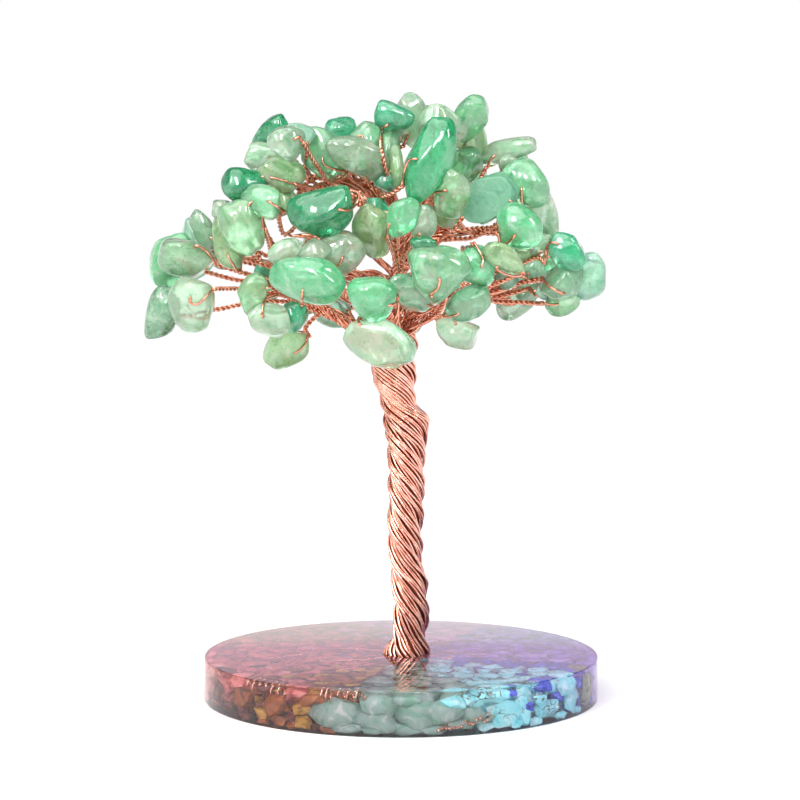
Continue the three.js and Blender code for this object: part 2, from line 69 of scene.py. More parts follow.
# The trunk and its strands
TRUNK_RADIUS = 3.3
ROOT_DEPTH = 3.0
BUNDLES = 4
TURN_AT_FOOT = 11.5
TURN_AT_FORK = 18.0
STRAND_RADIUS = 0.27
TRUNK_STRANDS = 28
KINK_STRANDS = 7
BUNDLE_RIDGE = 0.36
CORE_DEPTH = 0.55
TRUNK_STEP = 0.7
STRAND_STEP = 0.55
LIMB_TURN = 0.42
LIMB_STEP = 0.5

# The strands that cross at the trunk's bulge: the first one's top, how far it falls on its way,
# where its way starts and how far it goes round in degrees, and how far apart the strands lie
KINK_TOP = 62
KINK_FALL = 12.5
KINK_FROM = 150
KINK_ROUND = 260
KINK_PITCH = 0.82

# The twigs: each a pair of strands, twisted once every pitch. Each lies along its limb for some
# steps of half a millimetre before it leaves for its chip.
TWIG_PITCH = 2.1
TWIG_RADIUS = 0.27
TWIG_STEP = TWIG_PITCH / 9
TWIG_ALONGSIDE = 14
TWIST_OFFSET = TWIG_RADIUS * 0.95
TWIG_FAN = (2.4, 2.4, 3.4)

# A seen hook's places: how far round a place the chip's surface is searched, how far a place may
# lie off the chip, and how high the wire lies on the surface
HOOK_SEARCH = 0.55
HOOK_MISS = 0.5
HOOK_LIFT = 0.2

# The chips, and how their surface is worn
CHIP_THICKNESS_SHARE = 0.82
CHIP_CONTACT = 1.1
CHIP_FULLNESS = 1.06
MOST_CHIP_TILT = math.radians(34)
CHIP_CUTS = 18
FLATS_ON_RIM = 5
FLATS_ON_FACES = 3
RIM_FLAT_DEPTH = 0.8
FACE_FLAT_DEPTH = 0.3
FLAT_BLEND = 0.012
FLAT_START = 0.04
CREASE_WIDTH = 0.16
CREASE_DEPTH = 0.05
WAVE_HEIGHT = 0.022

# The layout's eye point: right, depth, up from the resin's top
EYE = np.array((-0.23, -500.0, 92.6))

# The trunk: up, right, share of TRUNK_RADIUS
TRUNK = [
    (0, 1.2, 1.3), (4, 1.7, 0.98), (8, 2.1, 1.0), (14, 1.8, 1.0), (20, 0.9, 0.94),
    (26, 0.8, 0.98), (33, 1.1, 1.02), (40, 1.1, 1.03), (45, 1.1, 1.2), (48, 1.0, 1.32),
    (51.5, -0.6, 0.95), (56, -1.3, 1.22), (60, -1.6, 1.3), (65, -0.9, 1.2), (70, -0.8, 0.85),
]

# The limbs, from the trunk outwards: radius at both ends, then right, up, depth
LIMBS = {
    "stem": (2.4, 0.8, [
        (-0.8, 66, 0), (-1.2, 74, 0), (0.3, 80, -1), (0.8, 85.5, -1), (-1.5, 91, -2),
        (-2.2, 95.3, -3), (-3.3, 99.6, -4),
    ]),
    "left": (1.6, 0.9, [
        (-1.2, 72, 0), (-5, 76.6, -2), (-10, 77.1, -4), (-18, 78.4, -5), (-27, 79.2, -7),
    ]),
    "left_middle": (1.0, 0.7, [
        (-1.6, 77, -1), (-7, 82.5, -5), (-16.9, 85, -9), (-27, 84.6, -10),
    ]),
    "left_low": (1.8, 0.8, [
        (-2.5, 57, 0), (-6.5, 63.5, -2), (-11, 67.5, -4), (-17, 71.2, -5), (-26.5, 76, -8),
    ]),
    "left_high": (1.5, 0.8, [
        (0.6, 83, -1), (-3.5, 90.5, -3), (-8, 94.6, -4), (-13.8, 95.3, -6), (-20, 95, -7),
    ]),
    "front_left": (1.5, 0.8, [
        (-1.6, 62, -1), (-6, 69, -8), (-11, 74, -14), (-16, 77.5, -17),
    ]),
    "front": (1.6, 0.8, [
        (-0.8, 62, -1), (-1.5, 70, -10), (-0.8, 76, -16), (-1.2, 82, -17),
    ]),
    "front_right": (1.4, 0.8, [
        (0.4, 64, -1), (5, 70, -8), (10, 74, -13), (15, 76, -14),
    ]),
    "right": (1.7, 0.8, [
        (-0.4, 63, 0), (3, 69.3, -1), (10, 72.5, -3), (17.7, 73.3, -4), (28.5, 76.3, -5),
    ]),
    "right_low": (1.0, 0.7, [
        (7, 71.4, -2), (12, 72, -2), (20, 72.5, -2), (28.5, 71.6, -2),
    ]),
    "right_high": (1.4, 0.8, [
        (0.5, 79, -1), (7, 84.8, -4), (13, 86, -6), (19, 86.3, -8),
    ]),
    "right_top": (1.3, 0.8, [
        (0.8, 84, -1), (3.6, 91, -6), (5.2, 97, -10),
    ]),
    "back_left": (1.6, 0.8, [
        (-1, 64, 1), (-8, 71, 10), (-18, 76, 13), (-30, 79, 7),
    ]),
    "back_right": (1.6, 0.8, [
        (0.4, 66, 2), (7, 75, 10), (15, 77, 14), (24.5, 80, 12),
    ]),
    "back": (1.5, 0.8, [
        (-0.8, 66, 1), (-1, 75, 12), (0, 83, 18),
    ]),
    "back_high_left": (1.3, 0.8, [
        (0.4, 81, 0), (-6, 90, 7), (-13, 96, 8), (-20, 96.5, 5),
    ]),
    "back_high_right": (1.3, 0.8, [
        (0.8, 83, 0), (6, 92, 10), (13, 95, 12), (20, 93, 8),
    ]),
}

# The chips, in clumps of chips that touch. Each clump names its limb. A chip gives right,
# up, half length, half width, roll of its long axis in degrees, depth and tint. Instead of a
# depth, a chip that leans on one of its clump is before or behind it. A chip with a clear shape
# of its own also gives how much it narrows along its axis and how far its ends bow.
CLUMPS = {
    "top_left_1": ("left_high", [
        (-28.3, 101.3, 3.6, 2.8, 20, -7, "pale"),
        (-26.1, 105.6, 4.2, 2.7, 35, "behind", "deep", -0.4, 0.1),
    ]),
    "top_left_2": ("left_high", [
        (-28, 92, 4.3, 3.1, -25, -19, "mint", -0.2, 0),
        (-31.3, 95.5, 4.8, 3.0, 8, "behind", "deep"),
    ]),
    "top_left_3": ("left_high", [
        (-22.8, 103.5, 3.9, 3.4, 40, -18, "grey"),
        (-20.4, 104.9, 3.4, 2.6, 20, "behind", "aqua"),
    ]),
    "top_left_4": ("left_high", [
        (-24.3, 97.3, 4.5, 3.8, 150, -13, "olive"),
        (-23.3, 91.6, 2.6, 2.6, 0, "behind", "olive"),
    ]),
    "top_left_5": ("left_high", [
        (-15.8, 102.1, 5.7, 4.2, 110, -10, "mint", 0.38, 0),
        (-9.2, 100.8, 6.2, 3.9, -25, "before", "streaked", -0.45, 0),
        (-12.2, 105.6, 3.9, 3.2, 10, "behind", "teal"),
        (-7, 104.8, 3.6, 2.8, 60, "behind", "mint"),
    ]),
    "left_1": ("left_middle", [
        (-32, 86.9, 5.9, 4.6, 105, -18, "spring", -0.15, 0),
        (-35, 83.8, 5.6, 2.7, 110, "behind", "olive"),
        (-35.8, 90.1, 2.3, 2.3, 0, "behind", "grey"),
    ]),
    "left_2": ("left", [
        (-39.8, 86.1, 4.3, 2.4, 115, -3, "grey"),
        (-40.8, 84.6, 3.8, 3.8, 0, "behind", "aqua"),
    ]),
    "left_3": ("left", [
        (-43.2, 80.5, 5.5, 3.8, -18, -11, "streaked", 0.25, 0.1),
        (-46, 80.3, 5.8, 4.2, 80, "behind", "mint"),
    ]),
    "left_4": ("left_low", [
        (-42.3, 71.3, 5.8, 4.4, 95, -17, "pale", -0.12, 0),
        (-48, 69.1, 5.6, 3.4, 240, "behind", "moss"),
    ]),
    "left_5": ("left_low", [
        (-27, 68.1, 4.3, 3.4, -10, -20, "pale", -0.15, -0.2),
        (-30, 73.3, 4.1, 3.0, 70, "behind", "spring", -0.35, 0),
    ]),
    "left_6": ("left_low", [
        (-21.3, 69, 3.0, 2.7, 30, -14, "teal"),
    ]),
    "left_7": ("left_low", [
        (-23.7, 62, 4.9, 3.6, 225, -8, "olive", 0.38, 0),
    ]),
    "middle_1": ("left_high", [
        (-15.8, 90.2, 7.0, 4.7, 15, -26, "deep", 0.05, 0.5),
    ]),
    "middle_2": ("front_left", [
        (-19.3, 76.1, 7.6, 4.4, -10, -30, "bright", -0.1, -0.1),
        (-22.8, 81.2, 3.6, 3.2, 60, "behind", "pale"),
        (-17.3, 81.6, 3.4, 2.8, 0, "behind", "grey"),
        (-12.3, 81.8, 5.0, 4.2, 20, "behind", "grey"),
    ]),
    "middle_3": ("front", [
        (-5.5, 86.1, 5.6, 3.9, 100, -20, "olive", -0.15, 0),
        (-4.5, 90.5, 3.0, 1.8, -40, "behind", "teal"),
    ]),
    "middle_4": ("front", [
        (-5.6, 71.6, 4.6, 4.3, 265, -31, "bright", 0.5, 0),
        (-4.6, 63.6, 7.4, 4.5, -28, "behind", "pale", -0.12, 0),
    ]),
    "middle_5": ("front_right", [
        (6.9, 77.6, 6.4, 5.1, -30, -28, "mint", -0.3, -0.15),
        (1.8, 73.6, 4.6, 3.5, 145, "behind", "sage"),
        (4.5, 83.3, 2.8, 1.7, 0, "behind", "deep"),
    ]),
    "middle_6": ("front_right", [
        (15, 78.7, 4.2, 3.6, -60, -24, "bright", 0.1, 0),
        (13.6, 71.5, 4.6, 3.5, 210, "behind", "sage", 0.3, 0),
        (21, 80.2, 4.7, 2.5, -38, "behind", "olive", 0.3, 0),
    ]),
    "middle_7": ("front", [
        (0.3, 88.7, 4.2, 3.2, 240, -27, "bright", 0.4, 0),
        (4.6, 87.8, 3.3, 2.5, 80, "behind", "grey"),
    ]),
    "middle_8": ("right_high", [
        (10.2, 93.1, 5.6, 3.5, 85, -20, "spring", -0.1, 0),
        (8.5, 88.9, 3.4, 2.6, -20, "behind", "olive"),
    ]),
    "middle_9": ("right", [
        (11.2, 65.6, 4.9, 3.1, -18, -8, "pale", -0.32, 0.4),
    ]),
    "top_1": ("stem", [
        (-1.5, 108.7, 4.4, 2.7, -12, -8, "teal", 0.3, 0.1),
        (2, 108.1, 5.2, 3.3, 90, "behind", "pale"),
        (-2.4, 103.5, 4.2, 2.1, 80, "behind", "mint"),
    ]),
    "top_2": ("right_top", [
        (5.6, 99.8, 8.9, 4.5, 250, -22, "emerald", 0.3, 0.12),
    ]),
    "top_3": ("stem", [
        (-1, 98.9, 4.2, 1.7, 95, -11, "olive"),
        (-3, 95.8, 2.5, 2.3, 0, "behind", "teal"),
    ]),
    "top_4": ("right_top", [
        (8.5, 107.1, 4.8, 3.4, -25, -10, "pale"),
        (14, 108.8, 5.0, 3.4, 55, "behind", "mint", 0.15, 0),
        (14, 105.1, 5.3, 3.2, 90, "behind", "olive"),
        (12.8, 99.1, 4.0, 3.3, 60, "before", "mint"),
        (9, 99.3, 2.0, 2.0, 0, "behind", "spring"),
    ]),
    "right_1": ("right_high", [
        (18, 92.8, 6.2, 4.3, 30, -15, "frosted", -0.05, 0),
    ]),
    "right_2": ("right_high", [
        (21.3, 102.1, 5.6, 2.5, 195, -4, "pale", 0.15, 0.1),
        (21.6, 99.5, 1.9, 1.9, 0, "before", "grey"),
    ]),
    "right_3": ("right_high", [
        (25, 95.3, 5.0, 4.1, -50, -8, "mint", 0.1, 0),
        (28.6, 89.3, 4.9, 3.0, -70, "behind", "pale"),
    ]),
    "right_4": ("right_high", [
        (24, 86.6, 5.2, 4.3, -20, -20, "bright", 0.25, 0.1),
    ]),
    "right_5": ("right", [
        (33, 82, 4.6, 3.2, -35, -14, "teal", -0.25, 0),
        (32.7, 76.3, 4.6, 3.6, 50, "behind", "sage"),
        (37.2, 76.9, 4.8, 4.2, 40, "behind", "aqua"),
        (32.3, 71.7, 3.6, 2.4, 0, "behind", "spring", 0.1, 0.5),
        (29, 73.7, 1.8, 1.6, 0, "behind", "aqua"),
    ]),
    "right_6": ("right_low", [
        (23.5, 71.7, 4.3, 2.6, 25, 3, "grey"),
        (25.5, 74.4, 3.2, 2.6, 0, "behind", "sage"),
        (26.5, 78.2, 3.0, 2.5, 90, "behind", "sage"),
    ]),
    "right_7": ("right", [
        (24.6, 81.3, 2.8, 1.8, 0, -9, "olive"),
        (28.3, 83.3, 2.8, 2.0, 20, "behind", "pale"),
    ]),
    "right_8": ("right", [
        (21.3, 76.3, 2.2, 2.0, 0, -7, "sage"),
    ]),
    "under_1": ("left_low", [
        (-14, 69.1, 3.6, 2.6, -40, 4, "aqua"),
        (-12, 69.9, 2.0, 2.0, 0, "behind", "aqua"),
        (-18, 70.9, 1.9, 1.6, 0, "behind", "grey"),
    ]),
    "under_2": ("back", [
        (2.6, 67.6, 2.6, 1.9, 35, 14, "aqua"),
    ]),
    "under_3": ("back_left", [
        (-27.5, 77.5, 2.7, 2.2, 90, 4, "teal"),
        (-27, 74, 2.7, 2.1, 90, "behind", "teal"),
    ]),
    "back_1": ("back_left", [
        (-43, 79.5, 5.4, 4.0, 20, 9, "mint"),
        (-40.5, 84.5, 4.2, 3.2, 100, "behind", "pale"),
    ]),
    "back_2": ("back_left", [
        (-32.5, 86, 5.2, 4.0, 100, 12, "bright"),
        (-34.5, 81.5, 4.6, 3.2, 30, "behind", "sage"),
    ]),
    "back_3": ("back_high_left", [
        (-24, 97, 4.6, 3.8, 60, 10, "mint"),
        (-27.8, 100.2, 3.9, 3.0, 120, "behind", "aqua"),
    ]),
    "back_4": ("back_high_left", [
        (-13.5, 102.5, 5.0, 4.0, 30, 10, "teal"),
        (-19, 104, 3.8, 3.0, 0, "before", "pale"),
    ]),
    "back_5": ("back_high_left", [
        (-16, 90.5, 5.4, 4.0, 15, 16, "deep"),
        (-13, 96, 3.5, 2.6, 120, "behind", "teal"),
    ]),
    "back_6": ("back_left", [
        (-20, 76.5, 5.6, 4.0, -10, 24, "spring"),
        (-22.5, 81, 4.0, 3.0, 60, "behind", "grey"),
    ]),
    "back_7": ("back_left", [
        (-12.5, 81.5, 4.8, 3.8, 60, 28, "bright"),
        (-17, 82, 3.4, 3.0, 0, "before", "pale"),
    ]),
    "back_8": ("back", [
        (-5.5, 86.5, 5.0, 3.8, 100, 29, "mint"),
        (-1, 89, 4.0, 3.0, 20, "behind", "olive"),
    ]),
    "back_9": ("back", [
        (-5.5, 72.5, 4.4, 3.8, 0, 27, "pale"),
        (-4.5, 65.5, 5.0, 3.4, -28, "before", "mint"),
    ]),
    "back_10": ("back", [
        (2.5, 74, 4.6, 3.4, -35, 22, "teal"),
        (8.5, 76, 4.6, 4.0, 30, "behind", "bright"),
    ]),
    "back_11": ("back_right", [
        (15, 79, 4.2, 3.4, -60, 29, "pale"),
        (14, 73.4, 4.2, 3.4, 30, "before", "mint"),
    ]),
    "back_12": ("back_right", [
        (21, 80.5, 4.0, 2.6, -38, 20, "sage"),
        (24, 86, 4.6, 3.8, -20, "before", "mint"),
    ]),
    "back_13": ("back_right", [
        (32, 79.5, 4.8, 3.6, 60, 13, "bright"),
        (35.5, 75.5, 4.2, 3.4, 0, "before", "pale"),
    ]),
    "back_14": ("back_high_right", [
        (24.5, 95.5, 4.6, 3.8, -50, 12, "deep"),
        (22.5, 100.6, 4.4, 2.8, 110, "before", "mint"),
    ]),
    "back_15": ("back_high_right", [
        (17.5, 92.5, 5.2, 3.8, 30, 22, "mint"),
        (14, 97.6, 4.4, 3.4, 110, "before", "spring"),
    ]),
    "back_16": ("back_high_right", [
        (10, 93, 5.0, 3.4, 85, 28, "teal"),
        (8.5, 87.5, 3.6, 2.8, -20, "behind", "pale"),
    ]),
    "back_17": ("back_high_right", [
        (5.5, 100, 5.4, 4.0, 68, 20, "pale"),
        (9, 105.5, 4.6, 3.4, -25, "before", "mint"),
    ]),
    "back_18": ("stem", [
        (1.5, 107.5, 4.6, 3.2, 80, 4, "sage"),
        (6.8, 107.5, 4.4, 3.4, 0, "behind", "teal"),
    ]),
    "back_19": ("back_high_left", [
        (-8, 101.5, 5.2, 3.4, -25, 21, "bright"),
        (-5.5, 96.5, 3.4, 2.6, 80, "behind", "mint"),
    ]),
}

# The hooks that show: a chip's clump and its place in it, then the places the wire goes through,
# right and up, from the twig's end to the drilled hole
HOOKS = {
    ("left_1", 0): [(-27.4, 86.3), (-28.1, 89.3), (-29.3, 91.7), (-30.4, 91.5)],
    ("left_3", 0): [(-37.2, 79.2), (-38.2, 80.7), (-39.4, 82.1), (-41.3, 83)],
    ("left_4", 0): [(-37.8, 74.3), (-39.6, 72.4), (-41.2, 71.2), (-42.6, 71.6), (-42.5, 72.6)],
    ("left_5", 0): [(-27.6, 72.5), (-27.9, 70.6), (-28.1, 68.7)],
    ("top_left_3", 0): [(-19.8, 103.8), (-20.3, 104.8), (-21.2, 104.4)],
    ("top_left_5", 0): [(-10.5, 97.8), (-13, 98.2), (-15.5, 99.3), (-15.8, 100.4)],
    ("top_left_5", 3): [(-7.3, 103.8), (-8.1, 105.1), (-9, 104.3)],
    ("top_left_4", 0): [(-21.3, 95.3), (-23.5, 96), (-25.2, 96.5), (-26.2, 96.6)],
    ("middle_1", 0): [(-8.4, 93.6), (-8.8, 91.8), (-10.6, 90.1), (-12.2, 90.2)],
    ("middle_2", 0): [(-20.1, 71.2), (-20, 72.6), (-19.9, 73.9)],
    ("middle_2", 3): [(-14, 78.5), (-12.5, 79.2), (-11.8, 80.6)],
    ("top_1", 0): [(-4, 105.2), (-3.9, 106.4), (-2.9, 107)],
    ("top_1", 1): [(0.5, 103), (0.9, 104.1), (1.4, 105)],
    ("top_2", 0): [(0.3, 95), (0.6, 97.8), (1.5, 100), (2.9, 100.4)],
    ("middle_8", 0): [(6, 92), (6.7, 93.6), (8, 93.9), (9, 94.1)],
    ("middle_5", 0): [(6, 73), (7.3, 74.3), (7.8, 76.2)],
    ("middle_6", 0): [(14.4, 83.6), (15.8, 81.8), (16.5, 80), (16.2, 78.9)],
    ("middle_9", 0): [(7, 68.2), (9, 69.2), (11, 67.6)],
    ("right_4", 0): [(19.3, 85.3), (20, 83.4), (21.5, 83.6), (22.8, 85)],
    ("right_5", 0): [(28.9, 79.5), (29.1, 82), (30, 83.6), (31.3, 83.5)],
    ("right_5", 1): [(28.6, 76.1), (30.5, 74.4), (32.8, 73.3)],
    ("right_5", 3): [(28.6, 71.4), (30, 71.1), (31.4, 71.2)],
    ("middle_6", 2): [(24.6, 77.4), (23.5, 76.9), (21, 77.3), (19.2, 78.5)],
}

# The twigs that show as they fan out: right, up and depth of some places on their way
WAYS = {
    ("left_3", 0): [(-22, 75.3, -7), (-28.3, 76.6, -9), (-33, 77.9, -10)],
    ("left_3", 1): [(-22, 74.3, -7), (-29, 75.4, -8), (-34, 76.3, -9)],
    ("left_4", 0): [(-20, 72.6, -7), (-28, 73.6, -11), (-33, 74.3, -15)],
    ("left_4", 1): [(-18, 71, -6), (-26, 71.8, -8), (-32, 71.2, -11), (-38.1, 70.1, -13)],
    ("left_1", 0): [(-23, 77.5, -8), (-25.8, 80.8, -12), (-26.6, 83.5, -16)],
    ("left_1", 1): [(-21, 77.6, -7), (-27, 79, -8), (-31.5, 80.4, -9)],
    ("left_1", 2): [(-24, 79, -7), (-26.2, 84, -8), (-29.5, 88, -8)],
    ("left_2", 0): [(-21, 78.2, -6), (-27.5, 81.2, -6), (-33, 83.6, -5)],
    ("top_left_2", 0): [(-23.2, 85.2, -9), (-24.6, 88.4, -13)],
    ("left_7", 0): [(-15.5, 69.6, -5), (-19.2, 66.6, -6)],
    ("top_1", 0): [(-3.2, 98.5, -14), (-3.9, 102, -14)],
    ("top_2", 0): [(-4, 92.3, -17), (-1.7, 93.6, -21)],
    ("top_left_1", 0): [(-20.8, 94.5, -8), (-21.5, 98, -9)],
    ("top_left_2", 1): [(-21, 92.8, -8), (-26.4, 93.5, -9)],
    ("top_left_3", 0): [(-13.8, 95.3, -9), (-16.5, 98.3, -14)],
    ("top_left_3", 1): [(-17.3, 95.4, -8), (-19, 98.8, -10)],
    ("top_left_4", 0): [(-17, 94.6, -8), (-20, 95, -13)],
    ("right_5", 0): [(18.5, 75.6, -6), (24.2, 79.4, -9), (27.8, 80.6, -12)],
    ("right_5", 1): [(18.3, 73.6, -5), (23.6, 75.4, -6), (28, 76.4, -7)],
    ("right_5", 2): [(20, 74.6, -4), (27, 75.9, -2), (32.5, 76.6, 0)],
    ("right_5", 3): [(17.7, 72, -4), (23.9, 71.6, -5), (27.6, 71.4, -6)],
    ("right_6", 0): [(16, 72.2, -2), (20.5, 72.2, -1)],
    ("right_6", 1): [(18, 72.8, -1), (22.5, 73.8, 0)],
    ("right_6", 2): [(18.5, 74.5, -1), (23.5, 77, 1)],
    ("right_7", 0): [(17, 76, -6), (21.5, 79.4, -8)],
    ("right_7", 1): [(18, 76.3, -5), (24, 80.4, -6)],
    ("right_8", 0): [(16.5, 74, -5), (19, 75.4, -6)],
    ("middle_6", 2): [(18, 75, -8), (22.5, 76.8, -11)],
}


def chance(seed):
    """A repeatable number from 0 to 1 for each seed."""
    wave = math.sin(seed * 12.9898) * 43758.5453
    return wave - math.floor(wave)


def unit(vector):
    """The vector, brought to a length of 1."""
    return vector / np.linalg.norm(vector)


def smoothstep(share):
    """A share from 0 to 1 that starts and ends gently."""
    share = np.clip(share, 0, 1)
    return share * share * (3 - 2 * share)


def round_middle(out, around, up, middle=0.0):
    """The place at a distance and an angle from an upright line, at a height."""
    return (middle + out * math.cos(around), out * math.sin(around), up)


# Layout

def reach_at(depth):
    """How much longer a length is at a depth than it looks on the layout's plane."""
    return 1 - depth / EYE[1]


def sighted(right, up, depth):
    """The place that the layout gives as right, up and depth."""
    reach = reach_at(depth)
    return np.array((EYE[0] + (right - EYE[0]) * reach, depth, EYE[2] + (up - EYE[2]) * reach))


def trunk_at(up, column):
    """The trunk's rows at a height: column 1 is the centre line, column 2 the radius."""
    heights = [row[0] for row in TRUNK]
    up = min(max(up, heights[0]), heights[-1])
    above = max(1, next(i for i, height in enumerate(heights) if height >= up))
    low, high = TRUNK[above - 1], TRUNK[above]
    share = smoothstep((up - low[0]) / (high[0] - low[0]))
    return low[column] + (high[column] - low[column]) * share


def trunk_turn(up):
    """How far the trunk's bundles have turned at a height, in radians."""
    top = TRUNK[-1][0]
    return math.radians(-up * (TURN_AT_FOOT + (TURN_AT_FORK - TURN_AT_FOOT) * up / (2 * top)))


def lengths_along(path):
    """How far along a path each of its points lies."""
    return np.concatenate(([0], np.cumsum(np.linalg.norm(np.diff(path, axis=0), axis=1))))


def curve_through(points):
    """Close points on a smooth curve through some points."""
    ends = 2 * points[0] - points[1], 2 * points[-1] - points[-2]
    spots = np.vstack((ends[0], points, ends[1]))
    gaps = np.maximum(np.linalg.norm(np.diff(spots, axis=0), axis=1), 1e-6) ** 0.5
    knots = np.concatenate(([0], np.cumsum(gaps)))
    dense = []
    for i in range(1, len(spots) - 2):
        t0, t1, t2, t3 = knots[i - 1:i + 3]
        t = np.linspace(t1, t2, 16, endpoint=False)[:, None]
        p0, p1, p2, p3 = spots[i - 1:i + 3]
        a1 = (t1 - t) / (t1 - t0) * p0 + (t - t0) / (t1 - t0) * p1
        a2 = (t2 - t) / (t2 - t1) * p1 + (t - t1) / (t2 - t1) * p2
        a3 = (t3 - t) / (t3 - t2) * p2 + (t - t2) / (t3 - t2) * p3
        b1 = (t2 - t) / (t2 - t0) * a1 + (t - t0) / (t2 - t0) * a2
        b2 = (t3 - t) / (t3 - t1) * a2 + (t - t1) / (t3 - t1) * a3
        dense.append((t2 - t) / (t2 - t1) * b1 + (t - t1) / (t2 - t1) * b2)
    return np.vstack(dense + [points[-1:]])


def smooth_path(points, step):
    """Evenly spaced points, about a step apart, on a smooth curve through some points."""
    dense = curve_through(np.array(points, float))
    lengths = lengths_along(dense)
    count = max(3, int(round(lengths[-1] / step)) + 1)
    spread = np.linspace(0, lengths[-1], count)
    return np.stack([np.interp(spread, lengths, dense[:, k]) for k in range(3)], axis=1)


# Meshes

def place_object(name, data, place=(0.0, 0.0, 0.0), turn=(0.0, 0.0, 0.0)):
    """A new object in the scene."""
    item = bpy.data.objects.new(name, data)
    item.location = place
    item.rotation_euler = turn
    bpy.context.scene.collection.objects.link(item)
    return item


def new_piece(name, points, faces, materials, shares=None, smooth=True):
    """A mesh piece from points in layout millimetres, on the tree's body."""
    mesh = bpy.data.meshes.new(name)
    spots = np.asarray(points, float) * MM
    spots[:, 2] += DISC_THICKNESS * MM
    mesh.from_pydata(spots.tolist(), [], faces)
    for entry in materials:
        mesh.materials.append(entry)
    if shares is not None:
        mesh.polygons.foreach_set("material_index", shares)
    mesh.polygons.foreach_set("use_smooth", [smooth] * len(mesh.polygons))
    mesh.update()
    piece = place_object(name, mesh)
    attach(piece, "root")
    return piece


class Gathered:
    """Several closed shapes that become one mesh."""

    def __init__(self):
        self.points = []
        self.faces = []
        self.shares = []
        self.count = 0

    def add(self, points, faces, share=0):
        """One more shape, with the number of its material."""
        self.points.append(points)
        base = self.count
        self.faces.extend([tuple(base + corner for corner in face) for face in faces])
        self.shares.extend([share] * len(faces))
        self.count += len(points)

    def piece(self, name, materials, slot, smooth=True):
        """The mesh piece of all the shapes."""
        points = np.vstack(self.points)
        return new_piece(name, points, self.faces, materials, self.shares, smooth)


def path_frames(path):
    """Along, side and other side directions at each point of a path, without a twist."""
    along = np.gradient(path, axis=0)
    along /= np.maximum(np.linalg.norm(along, axis=1), 1e-9)[:, None]
    side = np.empty_like(path)
    start = np.cross(along[0], (0.0, 0.0, 1.0))
    if np.linalg.norm(start) < 0.1:
        start = np.cross(along[0], (1.0, 0.0, 0.0))
    side[0] = unit(start)
    for i in range(1, len(path)):
        moved = side[i - 1] - along[i] * np.dot(side[i - 1], along[i])
        side[i] = unit(moved)
    return along, side, np.cross(along, side)


def add_strand(gathered, path, radius):
    """A round wire along a path, with rounded ends."""
    along, side, other = path_frames(path)
    sides = STRAND_SIDES
    turns = np.arange(sides) * 2 * math.pi / sides
    ring = np.cos(turns)[None, :, None] * side[:, None] + np.sin(turns)[None, :, None] * other[:, None]
    rings = path[:, None] + radius * ring
    tip = radius * 0.6
    first = path[:1] - along[:1] * tip
    points = np.vstack((first, rings.reshape(-1, 3), path[-1:] + along[-1:] * tip))
    faces = []
    last = len(points) - 1
    end = last - sides
    for j in range(sides):
        k = (j + 1) % sides
        faces.append((0, 1 + k, 1 + j))
        faces.append((last, end + j, end + k))
        for low in range(1, end, sides):
            faces.append((low + j, low + k, low + sides + k, low + sides + j))
    gathered.add(points, faces)


def twisted_pair(gathered, path, turn=0.0):
    """Two wires twisted round each other along a path. Gives where the two of them end."""
    along, side, other = path_frames(path)
    angle = turn + lengths_along(path) / TWIG_PITCH * 2 * math.pi
    ends = []
    for strand in (0, math.pi):
        swing = np.cos(angle + strand)[:, None] * side + np.sin(angle + strand)[:, None] * other
        add_strand(gathered, path + TWIST_OFFSET * swing, TWIG_RADIUS)
        ends.append(path[-1] + TWIST_OFFSET * swing[-1])
    return ends


# Chips

def turning(axis, angle):
    """A rotation matrix about the X, Y or Z axis."""
    c, s = math.cos(angle), math.sin(angle)
    return np.array({
        "x": ((1, 0, 0), (0, c, -s), (0, s, c)),
        "y": ((c, 0, s), (0, 1, 0), (-s, 0, c)),
        "z": ((c, -s, 0), (s, c, 0), (0, 0, 1)),
    }[axis], float)


def chip_at(row, seed, depth):
    """A chip's place, turn and half sizes. It nods and leans a little, and its outline stays."""
    right, up, half_length, half_width, roll = row[:5]
    reach = reach_at(depth)
    flat = CHIP_THICKNESS_SHARE * (0.9 + 0.3 * chance(seed + 0.1))
    nod = MOST_CHIP_TILT * (2 * chance(seed + 0.4) - 1)
    lean = MOST_CHIP_TILT * (2 * chance(seed + 0.5) - 1)
    width = half_width * reach / math.hypot(math.cos(lean), flat * math.sin(lean))
    thickness = width * flat
    seen = max(half_length * reach, thickness)
    length = math.sqrt(seen ** 2 - (thickness * math.sin(nod)) ** 2) / math.cos(nod)
    turn = turning("y", -math.radians(roll)) @ turning("x", math.pi / 2)
    return {
        "seed": seed,
        "depth": depth,
        "narrowing": row[7] if len(row) > 7 else 0.08 + 0.3 * chance(seed + 0.3),
        "bend": row[8] if len(row) > 7 else 0.35 * (chance(seed + 0.6) - 0.5),
        "centre": sighted(right, up, depth),
        "half": np.array((length, width, thickness)),
        "turn": turn @ turning("y", nod) @ turning("x", lean),
        "tint": row[6],
    }


def chip_reach(chip, direction):
    """How far a chip reaches from its centre along a direction."""
    return 1 / np.linalg.norm(chip["turn"].T @ direction / chip["half"])


def space_between(chip, other):
    """The space between two chips, below nothing where they meet deeper than they should."""
    across = other["centre"] - chip["centre"]
    direction = unit(across)
    reaches = chip_reach(chip, direction) + chip_reach(other, direction)
    return np.linalg.norm(across) - reaches + CHIP_CONTACT


def leaning(row, seed, clump):
    """A chip that leans on another, before or behind it, just deep enough to touch."""
    level = [space_between(chip_at(row, seed, other["depth"]), other) for other in clump]
    carrier = clump[level.index(min(level))]
    way = -1 if row[5] == "before" else 1
    near, far = 0.0, carrier["half"][0] + row[2] * 2
    for _ in range(30):
        middle = (near + far) / 2
        if space_between(chip_at(row, seed, carrier["depth"] + way * middle), carrier) < 0:
            near = middle
        else:
            far = middle
    return chip_at(row, seed, carrier["depth"] + way * near)


